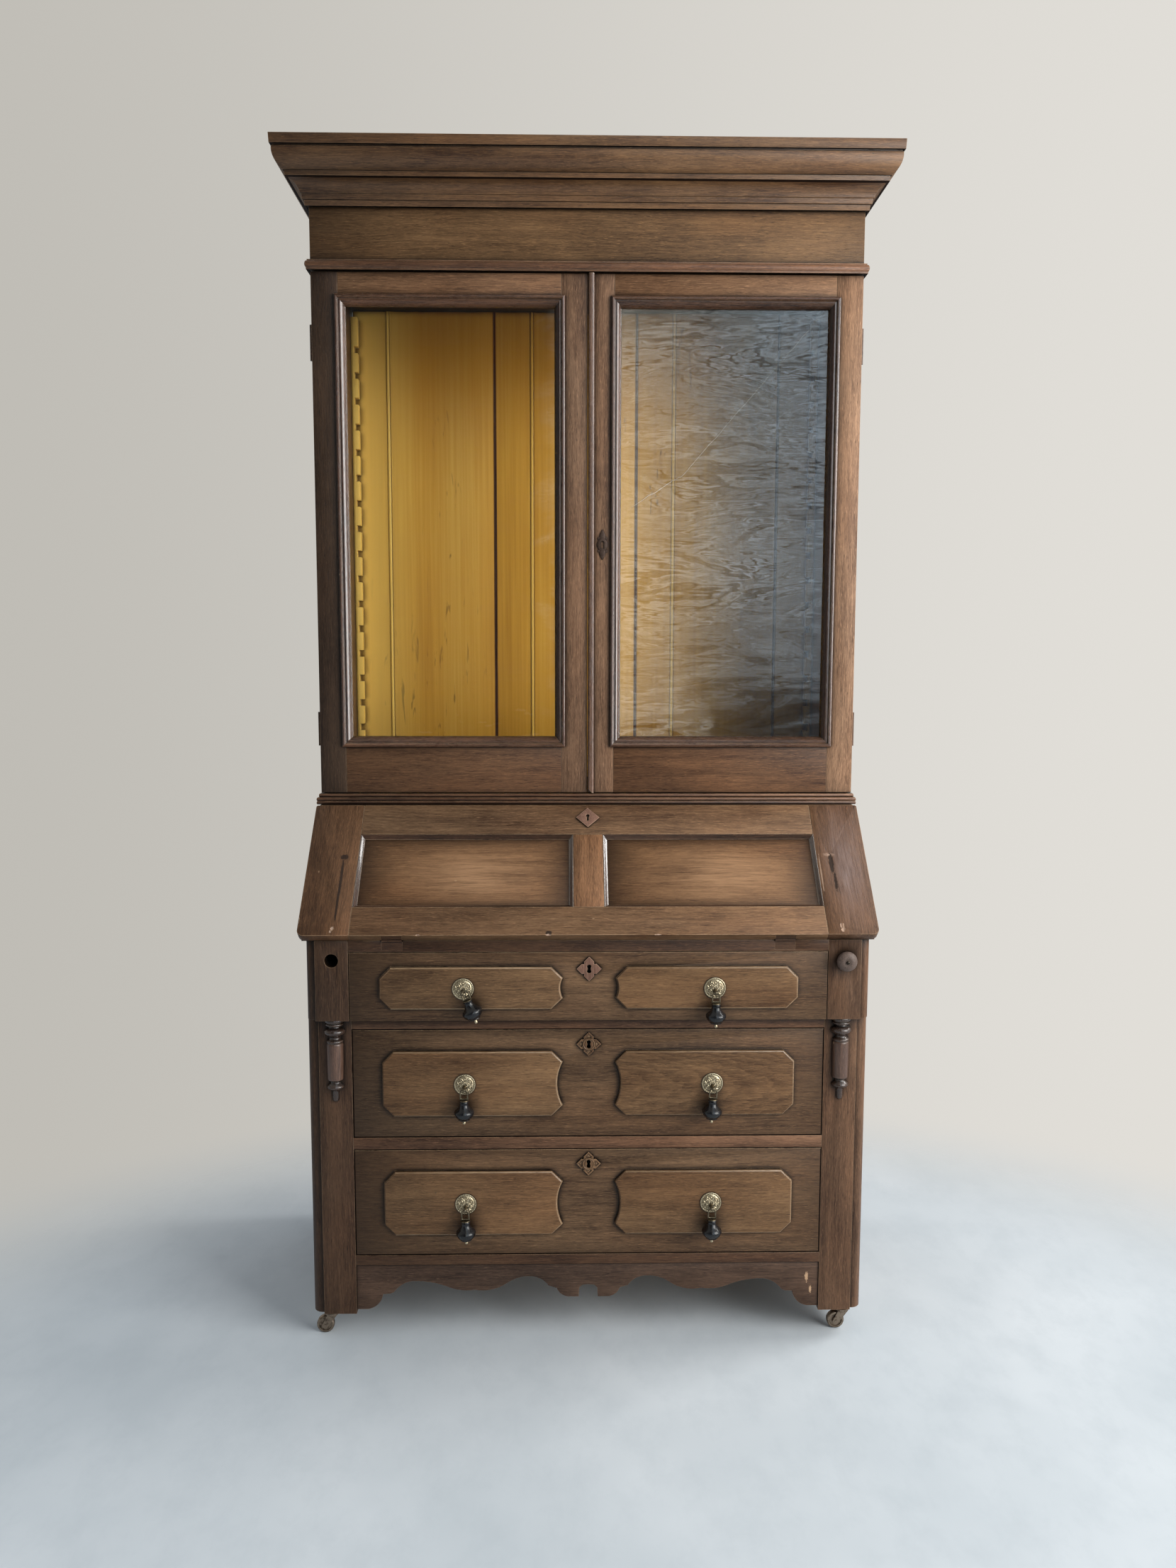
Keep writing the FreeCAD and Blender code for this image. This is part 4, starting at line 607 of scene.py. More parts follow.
worn_plate = walnut("worn_plate_walnut", "z", (92, 64, 52), (158, 122, 104), 16.5, worn=1.0, rough=0.5,
                    halo=0.006)
carved_plate = walnut("carved_plate_walnut", "z", (78, 54, 36), (152, 118, 86), 17.5, worn=1.0, rough=0.36,
                      edge=0.6 * MM, halo=0.005)
knob_walnut = walnut("loper_walnut", "y", (56, 46, 41), (118, 101, 92), 19.5, worn=0.5, rough=0.34,
                     halo=0.012)
bead_walnut = walnut("meeting_bead_walnut", "z", (58, 38, 28), (134, 100, 78), 18.5, worn=1.0, rough=0.22,
                     gloss=0.7)


def metal(name, deep, bright, rough, metallic=1.0, patina=0.6, scale=160):
    """Old metal, bright where it is rubbed and dark in its hollows."""
    f = Finish(name)
    cloud = f.noise(f.stretch((scale, scale, scale)), 1, 4, 0.6)
    dirt = f.plus(f.span(f.hollow(0.004, 4), 0.35, 0.85, 0.8, 0), f.span(cloud, 0.5, 0.68, 0, patina))
    colour = f.mix(f.sum("MINIMUM", dirt, 1.0), rgb(*bright), rgb(*deep))
    f.shader(**{"Base Color": colour, "Metallic": metallic,
                "Roughness": f.span(f.plus(dirt, cloud), 0.3, 1.4, rough, rough + 0.3),
                "Normal": f.bump(cloud, 0.15 * MM, 0.5)})
    return f.material


brass = metal("old_brass", (48, 40, 31), (188, 173, 144), 0.3, scale=420)
bail_brass = metal("bail_brass", (28, 24, 19), (118, 107, 88), 0.3, patina=0.7, scale=300)
iron = metal("old_iron", (24, 21, 19), (70, 62, 56), 0.45, patina=0.8)
plate_iron = metal("bronzed_plate", (20, 15, 13), (72, 54, 43), 0.4, metallic=0.5, patina=0.5, scale=400)
hinge_walnut = walnut("varnished_hinge", "x", (50, 34, 25), (104, 77, 57), 14.2, worn=0, dust=0, planks=False,
                      halo=0.004)
caster_iron = metal("caster_metal", (56, 46, 38), (142, 126, 110), 0.36, patina=0.7)


def ebony():
    f = Finish("ebonised_drop")
    cloud = f.noise(f.stretch((120, 120, 60)), 1, 3)
    scratch = f.noise(f.stretch((500, 500, 60)), 1, 2)
    colour = f.mix(f.span(cloud, 0.45, 0.7, 0, 0.5), rgb(12, 13, 16), rgb(26, 28, 34))
    f.shader(**{"Base Color": colour, "Roughness": f.span(scratch, 0.35, 0.7, 0.14, 0.3), "Coat Weight": 0.15,
                "Coat Roughness": 0.06, "Specular IOR Level": 0.4, "Normal": f.bump(scratch, 0.08 * MM, 0.3)})
    return f.material


ebonised = ebony()


def window_glass():
    """Old cylinder glass, wavy, with a hairline crack."""
    f = Finish("old_window_glass")
    wave = f.noise(f.stretch((4.5, 4.5, 10), (0.3, 0, 0.8)), 1, 2, 0.5, 0.8)
    fine = f.noise(f.stretch((9, 9, 40)), 1, 2)
    ripple = f.bump(f.plus(wave, f.times(fine, 0.16)), 2.2 * MM, 0.5)
    glass = f.add("BsdfPrincipled", {"Base Color": rgb(248, 250, 246), "Transmission Weight": 1.0,
                                     "Roughness": 0.0, "IOR": 1.5, "Normal": ripple}).outputs[0]
    open_way = f.add("BsdfTransparent", {"Color": rgb(246, 248, 244)}).outputs[0]
    whole = f.blend(f.add("LightPath").outputs["Is Shadow Ray"], glass, open_way)
    x, _, z = f.axes()
    run = f.sum("SUBTRACT", x, 0.177)
    crack_z = f.sum("MULTIPLY_ADD", run, 0.87, f.sum("MULTIPLY_ADD", f.sum("ABSOLUTE", run), 0.27, 1.586))
    jag = f.times(f.sum("SUBTRACT", f.noise(f.stretch((30, 30, 30)), 1, 4), 0.5), 0.012)
    off = f.sum("ABSOLUTE", f.plus(f.sum("SUBTRACT", z, crack_z), jag))
    line = f.times(f.span(off, 0.8 * MM, 0.3 * MM), f.span(x, 0.12, 0.4, 0.27, 0.12))
    line = f.times(line, f.span(x, 0.078, 0.09))
    f.surface(f.blend(line, whole, f.add("BsdfDiffuse", {"Color": rgb(214, 214, 208)}).outputs[0]))
    return f.material


pane = window_glass()


def paint(piece, *materials):
    piece.data.materials.clear()
    for material in materials:
        piece.data.materials.append(material)
    return piece


def finish(piece, body, slot, materials, *nodes, face=None, angle=30):
    """Give a piece its finish, and let it ride and stand for its nodes.

    face(centre, normal) gives the number of a face's material.
    """
    if materials:
        paint(piece, *(materials if isinstance(materials, (list, tuple)) else [materials]))
    if face:
        for polygon in piece.data.polygons:
            polygon.material_index = face(polygon.center, polygon.normal)
    smooth(piece, angle)
    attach(piece, body)
    if nodes:
        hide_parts(*nodes)
    return piece


def dress(node, material):
    """A new finish for a node that stays."""
    data = frame["nodes"][node].data
    if not data.materials:
        data.materials.append(material)
    for index in range(len(data.materials)):
        data.materials[index] = material


# ---------------------------------------------------------------- pulls and keyhole plates

def ring_of(count, radius, piece):
    """Copies of a piece round an upright axis."""
    found = []
    for index in range(count):
        other = twin(piece, f"{piece.name}_{index}", (0, radius, 0))
        other.data.transform(Matrix.Rotation(math.tau * index / count, 4, "Z"))
        found.append(other)
    bpy.data.objects.remove(piece)
    return found


def cut(piece, *cutters):
    for cutter in cutters:
        modify(piece, "BOOLEAN", operation="DIFFERENCE", object=cutter, solver="EXACT")
        bpy.data.objects.remove(cutter)
    return piece


# a pull's pivot, in mm out from the rosette's foot and down from its middle
EYE_OUT, EYE_DOWN = 19.5, 3.5

# degrees that a pull hangs askew, and mm that it has ridden up on its eye
ASKEW = {"top_left": (-21, 5.5), "middle_right": (3, 0), "bottom_left": (-2, 0)}

# how far a drawer's raised panels stand out over its ground
PANEL_RISE = 8 * MM


def make_rosette():
    """A domed rosette with scrolls, petals and a beaded rim, and the eye for the pull. It faces up."""
    dome = [(0, 18.6), (0.8, 19), (1.5, 18.9), (1.9, 18.1), (1.8, 17.2), (1.2, 16.4), (1.3, 15.8),
            (1.9, 15.4)]
    dome += [(1.9 + 3.1 * (1 - (radius / 15.4) ** 2), radius) for radius in (14, 12, 10, 8, 6, 4, 2, 0.6)]
    parts = [turned("dome", dome, 56)]
    scroll = turned("scroll", [(-0.6, 4.3), (0.7, 4.3), (1.15, 3.8), (0.8, 3.1), (0.1, 2.6), (0.2, 1.9),
                               (1.0, 1.5), (1.4, 0.9), (1.5, 0.2)], 18)
    lay(scroll, (-16, 0, 0), (0, 0, 3.3 * MM))
    parts += ring_of(6, 10.4 * MM, scroll)
    petal = turned("petal", [(0, 0.3), (0.8, 1.1), (2.2, 1.5), (3.8, 1.1), (5.2, 0.2)], 8)
    lay(petal, (-90 - 14, 0, 0), (0, 0, 3.4 * MM))
    petals = ring_of(6, 10.2 * MM, petal)
    for item in petals:
        item.data.transform(Matrix.Rotation(math.tau / 12, 4, "Z"))
    leaf = turned("leaf", [(0, 0.3), (1, 1.2), (2.4, 1.3), (4, 0.2)], 8)
    lay(leaf, (-90 - 10, 0, 0), (0, 0, 4.7 * MM))
    parts += petals + ring_of(12, 2.6 * MM, leaf)
    pearl = turned("pearl", [(1.0, 0.95), (1.7, 0.9), (2.2, 0.6), (2.4, 0.15)], 8)
    parts += ring_of(26, 17.2 * MM, pearl)
    boss = turned("boss", [(4.2, 4.4), (5.3, 4.2), (6.0, 3.4), (8, 2.6), (EYE_OUT - 2.4, 2.3)], 24)
    boss.data.transform(Matrix.Translation((0, -EYE_DOWN * MM, 0)))
    pivot = (0, -EYE_DOWN * MM, EYE_OUT * MM)
    eye = rod("eye", 28, 3.7, 4.4, pivot, (0, 90, 0))
    ease(eye, 0.7 * MM, 3)
    cut(eye, rod("eye_hole", 20, 1.62, 9, pivot, (0, 90, 0)))
    plate = paint(join("rosette_plate", parts), brass)
    eye = paint(join("rosette_eye", [boss, eye]), bail_brass)
    return lay(join("rosette", [plate, eye]), (90, 0, 0))


def make_pull():
    """A stirrup bail, a turned ebonised drop and its metal tip, hanging from the origin."""
    bail = board("bail", (-7.7 * MM, -1.3 * MM, -17.6 * MM), (7.7 * MM, 1.3 * MM, 1.3 * MM), 0)
    open_up(bail, "EDGE")
    pick_edges(bail, lambda a, b: a.z > 0 and b.z > 0 and abs(a.y - b.y) > 2 * MM)
    bpy.ops.mesh.bevel(offset=4.2 * MM, segments=1, affect="EDGES")
    bpy.ops.mesh.select_mode(type="FACE")
    pick_faces(bail, lambda centre, normal: abs(normal.y) > 0.9)
    bpy.ops.mesh.inset(thickness=2.6 * MM, depth=0)
    bpy.ops.mesh.bridge_edge_loops()
    close_up()
    ease(bail, 0.75 * MM, 3)
    collar = turned("collar", [(-19.6, 7.6), (-19.3, 8.1), (-18.7, 8.3), (-18.1, 8), (-17.8, 7),
                               (-17.6, 5.5)], 36)
    metal_parts = paint(join("bail", [bail, collar]), bail_brass)
    drop = turned("drop", [(0, 7.4), (-0.7, 8.3), (-1.7, 8.6), (-2.7, 8.1), (-3.4, 7.5), (-6, 7.5),
                           (-8.5, 8.2), (-11, 9.8), (-13.5, 12), (-16, 14.7), (-18, 16.7), (-19.6, 17.6),
                           (-21, 17.9), (-22.6, 17.9), (-24.2, 17.4), (-24.9, 16.9), (-26.4, 16.6),
                           (-28.4, 15.4), (-30.4, 13.5), (-32, 11.5), (-33, 10.7), (-33.8, 10.8),
                           (-34.6, 9.8), (-35.2, 8)], 48, -19.5)
    paint(drop, ebonised)
    tip = turned("tip", [(0, 3.4), (-1, 3.3), (-1.8, 2.5), (-3, 2.4), (-4.4, 3.1), (-6, 3.3), (-7.2, 2.7),
                         (-8.2, 1.5), (-8.6, 0.4)], 24, -54.4)
    paint(tip, brass)
    return join("pull", [metal_parts, drop, tip])


def joint_at(name):
    return Vector(next(joint["pos_m"] for joint in frame["joints"] if joint["name"] == name))


def keyhole(x, y, z, depth):
    """A cutter: two round ends and a narrow waist."""
    cutter = board("keyhole", (x - 3.8 * MM, y - depth, z - 7.9 * MM),
                   (x + 3.8 * MM, y + depth, z + 7.9 * MM), 0)
    open_up(cutter, "EDGE")
    pick_edges(cutter, lambda a, b: abs(a.z - b.z) > 5 * MM)
    bpy.ops.mesh.subdivide(number_cuts=3)
    bpy.ops.mesh.select_mode(type="VERT")
    pick(cutter, "verts", lambda vert: abs(vert.co.z - z) < 1 * MM)
    bpy.ops.transform.resize(value=(0.68, 1, 1), center_override=(x, y, z))
    bpy.ops.mesh.select_mode(type="EDGE")
    pick_edges(cutter, lambda a, b: abs(a.y - b.y) > 1 * MM and min(abs(a.z - z), abs(b.z - z)) > 7 * MM)
    bpy.ops.mesh.bevel(offset=3.3 * MM, segments=5, affect="EDGES")
    close_up()
    return cutter


keyhole_place, lock_foot = {}, {}
for drawer, down in (("top", 29.5), ("middle", 26.6), ("bottom", 26.4)):
    low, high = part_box(f"{drawer}_drawer_front")
    keyhole_place[drawer] = Vector((0, low.y + PANEL_RISE, high.z - down * MM))
    lock_foot[drawer] = high.z - 46 * MM


def plate_part(point):
    if abs(point.x) > 0.1:
        return "rosette"
    return "plate" if point.y < keyhole_place["top"].y else "lock"


plate_master = None
for piece in apart("top_drawer_fittings", "plate_master", plate_part):
    if piece.name.endswith("plate"):
        plate_master = piece
    else:
        bpy.data.objects.remove(piece)

rosette_master = make_rosette()
pull_master = make_pull()


def furnish_drawer(drawer):
    """Rosettes, pulls, keyhole plate and lock of one drawer."""
    body = f"{drawer}_drawer"
    _, face, middle = keyhole_place[drawer]
    for side in ("left", "right"):
        pivot = joint_at(f"{drawer}_pull_{side}_swing")
        centre = pivot + Vector((0, EYE_OUT * MM, EYE_DOWN * MM))
        rosette = twin(rosette_master, f"{drawer}_rosette_{side}", centre)
        finish(rosette, body, "antique_brass", None, angle=40)
        pull = twin(pull_master, f"{drawer}_drop_pull_{side}")
        lean, lift = ASKEW.get(f"{drawer}_{side}", (0, 0))
        pull.data.transform(Matrix.Rotation(math.radians(lean), 4, "Y"))
        pull.data.transform(Matrix.Translation(pivot + Vector((lift / 2, 0, lift)) * MM))
        finish(pull, f"{drawer}_pull_{side}", "ebonised_wood", None, f"{drawer}_pull_{side}", angle=40)

    lock = board(f"{drawer}_lock_case", (-31 * MM, face + 20 * MM, lock_foot[drawer]),
                 (31 * MM, face + 30 * MM, lock_foot[drawer] + 36 * MM), 1 * MM)
    finish(lock, body, "iron", iron)
    plate = twin(plate_master, f"{drawer}_keyhole_plate", keyhole_place[drawer] - keyhole_place["top"])
    if drawer == "top":
        cut(plate, keyhole(0, face, middle, 8 * MM))
        ease(plate, 0.7 * MM, 3)
    else:
        carve(plate, face, middle)
    finish(plate, body, "dark_walnut", worn_plate if drawer == "top" else carved_plate,
           f"{drawer}_drawer_fittings")


def carve(plate, face, middle):
    """A pointed hollow with a small raised heart in each lobe, and a turned ring round the keyhole."""
    hollow = rod("hollow", 4, 6, 2.4, (0, 13.2 * MM, 0))
    bpy.ops.mesh.primitive_cone_add(vertices=4, radius1=3.4 * MM, radius2=0.6 * MM, depth=2 * MM,
                                    location=(0, 13.4 * MM, 0.6 * MM))
    heart = bpy.context.object
    heart.name = "heart"
    settle(heart)
    hollows, hearts = ring_of(4, 0, hollow), ring_of(4, 0, heart)
    for item in hollows + hearts:
        lay(item, (90, 0, 0), (0, face - 3 * MM if item in hollows else face - 1 * MM, middle))
    cut(plate, *hollows)
    ring = turned("ring", [(0, 10.9), (4.1, 10.9), (4.9, 10.4), (4.9, 9.5), (4.2, 8.9), (3.9, 8.3),
                           (4.4, 7.4), (4.4, 0.5)])
    lay(ring, (90, 0, 0), (0, face, middle))
    cut(plate, keyhole(0, face, middle, 8 * MM))
    cut(ring, keyhole(0, face, middle, 8 * MM))
    ease(plate, 0.35 * MM, 2, 40)
    ease(ring, 0.25 * MM, 2, 40)
    join(plate.name, [plate, ring, *hearts])


# ---------------------------------------------------------------- the base

def case_boards(node, name, material, width=0.8, slot="walnut"):
    """Plain boards of the case, with arrises rounded by a width in mm."""
    finish(eased(node, name, width * MM), "case", slot, material, node)


case_boards("corner_posts", "corner_post_set", posts_walnut)
case_boards("post_blocks", "post_block_pair", posts_walnut, 1.1)


def make_spindles():
    """Half turnings under the blocks: disc, beads, plain shaft, bead and acorn."""
    low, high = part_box("half_spindles")
    rings = [(0, 17.4), (-0.9, 18.1), (-4.8, 18.1), (-5.6, 17.2), (-6.6, 15.2), (-7.6, 15), (-8.4, 16.2),
             (-9.8, 16.8), (-11.6, 16.2), (-12.8, 13.4), (-14.2, 10.8), (-15.4, 10.9), (-16.8, 12.8),
             (-18.4, 15.4), (-20.4, 17.6), (-22.4, 18.7), (-24, 18.9), (-25.8, 18.4), (-27.6, 17),
             (-29.4, 15), (-31.4, 12.2), (-33.2, 10.4), (-35, 9.9), (-36.8, 10.6), (-38.4, 12.6),
             (-39.4, 14.4), (-40.4, 15.1), (-42.6, 15.2), (-44, 14.6), (-44.8, 13.9), (-45.8, 14.8),
             (-48, 15.1), (-80, 15), (-106, 14.5), (-111.4, 14.4), (-112.6, 13.8), (-113.6, 11.8),
             (-115, 9.6), (-116.8, 9.2), (-118.4, 10.2), (-120.4, 12.4), (-122.6, 14.6), (-124.4, 15.6),
             (-126, 15.6), (-127.6, 14.7), (-129.4, 12.4), (-131, 9.4), (-132.4, 7.2), (-134, 6.5),
             (-138, 6.3), (-148, 6), (-150.6, 5.6), (-152.6, 4.4), (-153.6, 2.6), (-154, 0.6)]
    taller = (high.z - low.z) / (145.5 * MM)
    wider = min(1, (high.y - low.y) / (18.9 * MM))
    pieces = []
    for side, x in (("left", -0.4535), ("right", 0.4535)):
        piece = turned(f"half_spindle_{side}", [(z * taller, radius * wider) for z, radius in rings], 56)
        lay(piece, move=(x, high.y, high.z))
        open_up(piece)
        pick_all()
        bpy.ops.mesh.bisect(plane_co=(0, high.y, 0), plane_no=(0, 1, 0), use_fill=True, clear_outer=True)
        close_up()
        pieces.append(piece)
    return join("half_spindle_pair", pieces)


def spindle_part(centre, normal):
    """The plain shaft, and the beads over and under it, painted darker: painted shade in their crevices."""
    return 0 if 44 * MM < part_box("half_spindles")[1].z - centre.z < 111 * MM else 1


finish(make_spindles(), "case", "dark_walnut", [turned_walnut, shaded_bead_walnut], "half_spindles", angle=50,
       face=spindle_part)


def rail_part(centre, normal):
    """The rails between drawers get a paler walnut than the rail under the fall front, which keeps the darker
    one with its painted shade. The arrises under all of them are painted black: painted shadow.
    """
    if normal.z < -0.3 and normal.y < -0.2:
        return 2
    return 1 if 0.3 < centre.z < 0.62 else 0


case_boards("side_boards", "side_board_pair", side_walnut)
case_boards("base_back", "base_back_board", inner_wood, slot="inner_wood")
finish(eased("front_rails", "front_rail_set", 0.9 * MM), "case", "walnut",
       [rail_walnut, mid_rail_walnut, quirk_walnut], "front_rails", face=rail_part)
case_boards("apron", "scalloped_apron", apron_walnut)
case_boards("writing_bed", "writing_bed_board", rail_walnut, 1.2)
case_boards("desk_top", "desk_top_board", rail_walnut)
for node in ("drawer_runners", "loper_guides", "pigeonholes"):
    dress(node, inner_deep)


def drawer_part(front_face):
    """Ground, panel, pale arrises of the panel where they face the light (wear and a painted highlight), and
    the arrises beside the gap round the drawer, painted black: painted shadow.
    """
    def part(centre, normal):
        arris = -0.96 < normal.y < -0.3
        if centre.y > front_face - 0.3 * MM:
            return 3 if arris and normal.z < 0.3 else 0
        return (2 if normal.x > -0.3 else 0) if arris else 1
    return part


for drawer, seed in (("top", 1.3), ("middle", 3.1), ("bottom", 5.2)):
    low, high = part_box(f"{drawer}_drawer_front")
    middle = (low.z + high.z) / 2
    front_face = low.y + PANEL_RISE
    # Painted light across each drawer, darker to the left, and black lines of painted shade and dirt out of
    # its corners.
    olive = walnut(f"{drawer}_drawer_walnut", "x", (66, 47, 32), (142, 110, 80), seed, worn=1.0,
                   edge=1.8 * MM, seam=9 * MM, fade=((-0.42, 0.84), (-0.1, 1.0), (0.42, 1.0)),
                   shade=((0.02, front_face, middle), (0.47, 1, (high.z - low.z) * 0.6)))
    flame = ((0.208, front_face, middle - 0.004), (0.055, 1, 0.034)) if drawer == "middle" else None
    raised = walnut(f"{drawer}_panel_walnut", "x", (78, 55, 36), (152, 117, 82), seed + 7, figure=flame,
                    worn=1.0, edge=1.9 * MM, seam=4 * MM,
                    fade=((-0.37, 0.76), (-0.05, 0.95), (0.05, 0.9), (0.37, 0.92)))
    drawer_face = apart(f"{drawer}_drawer_front", f"{drawer}_drawer_face")[0]
    cut(drawer_face, keyhole(0, front_face, keyhole_place[drawer].z, 17 * MM))
    ease(drawer_face, 1.5 * MM)
    finish(drawer_face, f"{drawer}_drawer", "panel_walnut", [olive, raised, worn_lit_arris_walnut, quirk_walnut],
           f"{drawer}_drawer_front", face=drawer_part(front_face))
    dress(f"{drawer}_drawer_box", inner_deep)
    furnish_drawer(drawer)


# ---------------------------------------------------------------- the fall front

SLOPE = 46.95
ALONG, UP = math.cos(math.radians(SLOPE)), math.sin(math.radians(SLOPE))
lid_hinge = joint_at("fall_front_hinge")

# edges of the panels: across from the desk's middle, and up the slope from the hinge
INNER, OUTER, FOOT, HEAD = 0.0275, 0.42, 0.057, 0.214


def up_lid(point):
    """How far up the fall front's slope a point lies."""
    return (point.y - lid_hinge.y) * ALONG + (point.z - lid_hinge.z) * UP


def lid_place(x, run, thick=0.018):
    """A place on the fall front's outer face."""
    return (x, lid_hinge.y + run * ALONG - thick * UP, lid_hinge.z + run * UP + thick * ALONG)


def lid_part(point):
    if abs(point.x) > OUTER:
        return "stile_left" if point.x < 0 else "stile_right"
    run = up_lid(point)
    if run < FOOT:
        return "foot_rail"
    return "head_rail" if run > HEAD else "muntin"


# On the fall front the stops across the width paint light, darker to the left, with some tone from board to
# board.
lid_walnut = walnut("fall_front_rail_walnut", "x", (72, 50, 34), (154, 120, 88), 10.6, worn=1.0,
                    fade=((-0.42, 0.9), (0.0, 1.0), (0.42, 1.0)),
                    marks=[(lid_place(-0.071, 0.004), (0.009, 0.008, 0.008), SCAR, 0.8)])
# Its glow on the right stile, paler and greyer, is a painted sheen.
lid_stile_walnut = walnut(
    "fall_front_stile_walnut", "y", (68, 46, 30), (146, 107, 76), 11.2, tilt=-SLOPE, worn=0.9,
    fade=((-0.51, 0.66), (-0.42, 0.8), (-0.03, 1.5), (0.03, 1.45), (0.42, 0.85), (0.51, 0.8)),
    glow=(lid_place(0.47, 0.15), (0.07, 0.22, 0.22), rgb(136, 119, 115)),
    marks=[(lid_place(-0.445, 0.164), (0.012, 0.009, 0.009), SCAR, 1.2),
           (lid_place(-0.446, 0.122), (0.0044, 0.066, 0.07), SCAR, 1.0),
           (lid_place(-0.447, 0.066), (0.0036, 0.06, 0.064), SCAR, 1.1),
           (lid_place(0.443, 0.168), (0.016, 0.006, 0.006), rgb(150, 122, 104), 1.6),
           (lid_place(0.445, 0.150), (0.007, 0.036, 0.038), SCAR, 1.5),
           (lid_place(0.448, 0.108), (0.0044, 0.036, 0.038), SCAR, 1.4),
           (lid_place(0.424, 0.125), (0.002, 0.06, 0.065), rgb(168, 140, 118), 1.5)])
bare_walnut = walnut("bare_walnut", "y", (170, 138, 118), (226, 198, 176), 30.2, worn=0, dust=0, rough=0.7,
                     halo=0.004)


# chips of the fall front: across, up the slope, size in mm, seed
CHIPS = {
    "stile_left": ((-0.450, 0.014, (2.8, 4.4, 0.8), 3), (-0.4525, 0.008, (1.8, 2.6, 0.6), 4),
                   (-0.5105, 0.03, (1.4, 7, 1.8), 8)),
    "stile_right": ((0.4475, 0.010, (3.4, 4.4, 0.8), 5), (0.4450, 0.018, (1.5, 6, 0.6), 12),
                    (0.4490, 0.017, (1.4, 5, 0.6), 13), (0.443, 0.168, (2.6, 1.8, 0.5), 9)),
    "foot_rail": ((-0.071, 0.0, (5, 3, 2.4), 6), (-0.300, 0.0, (4, 1.5, 1.4), 7),
                  (0.120, 0.0, (7, 1.4, 1.2), 11)),
}


def chip(piece, x, run, size, seed):
    """Knock a ragged flake out of a board."""
    clear()
    bpy.ops.mesh.primitive_ico_sphere_add(subdivisions=2, radius=1, location=(0, 0, 0))
    flake = bpy.context.object
    open_up(flake)
    pick_all()
    bpy.ops.transform.vertex_random(offset=0.2, uniform=0.4, normal=0.8, seed=seed)
    close_up()
    flake.scale = [length * MM for length in size]
    settle(flake)
    lay(flake, (SLOPE, 0, 0), lid_place(x, run))
    paint(flake, bare_walnut)
    modify(piece, "BOOLEAN", operation="DIFFERENCE", object=flake, solver="EXACT", material_mode="TRANSFER")
    bpy.data.objects.remove(flake)


def make_lid_frame():
    pieces = apart("lid_frame", "fall_front_frame", lid_part)
    for piece in pieces:
        kind = piece.name.replace("fall_front_frame_", "")
        ease(piece, 1.3 * MM)
        paint(piece, lid_walnut if kind in ("foot_rail", "head_rail") else lid_stile_walnut)
        for flake in CHIPS.get(kind, ()):
            chip(piece, *flake)
    return join("fall_front_frame", pieces)


finish(make_lid_frame(), "fall_front", "walnut", None, "lid_frame")


def mitred_frame(name, low, high, steps, base=0.0):
    """A moulding round an opening, drawn flat and facing up. low and high are its outer corners (x, y).

    steps are (inwards, up) in mm, one for each change of slope. It closes to the height that its outer edge
    starts from.
    """
    clear()
    middle = [(a + b) / 2 for a, b in zip(low, high)]
    bpy.ops.mesh.primitive_plane_add(size=1, location=(*middle, base))
    piece = bpy.context.object
    piece.scale = (high[0] - low[0], high[1] - low[1], 1)
    piece.name = name
    settle(piece)
    open_up(piece)
    pick_all()
    for inward, rise in steps:
        if inward:
            bpy.ops.mesh.inset(thickness=inward * MM, depth=rise * MM)
        else:
            bpy.ops.mesh.extrude_region_move(TRANSFORM_OT_translate={"value": (0, 0, rise * MM)})
    bpy.ops.mesh.delete(type="FACE")
    pick_faces(piece, lambda centre, normal: abs(centre.z - base) < 0.01 * MM)
    bpy.ops.mesh.delete(type="FACE")
    bpy.ops.mesh.select_mode(type="EDGE")
    bpy.ops.mesh.select_all(action="DESELECT")
    bpy.ops.mesh.select_non_manifold()
    bpy.ops.mesh.bridge_edge_loops()
    outwards()
    return piece


def on_lid(piece):
    return lay(piece, (SLOPE, 0, 0), lid_hinge)


def lid_moulding_face(centre, normal):
    """Upright lengths lie where the side is nearer than the head or foot."""
    across, run = abs(centre.x), up_lid(centre)
    to_side = min(abs(across - INNER), abs(across - OUTER))
    to_end = min(abs(run - FOOT), abs(run - HEAD))
    return 1 if to_side < to_end else 0


lid_moulding_walnut = walnut("fall_front_moulding_walnut", "x", (38, 26, 19), (98, 70, 52), 9.1, rough=0.4,
                             gloss=0.2, halo=0.014, worn=0.25)
lid_moulding_upright = walnut("fall_front_moulding_upright_walnut", "y", (36, 25, 20), (96, 72, 60), 9.7,
                              rough=0.14, gloss=1.0, halo=0.006, coat=1.0, tilt=-SLOPE, worn=0.3)

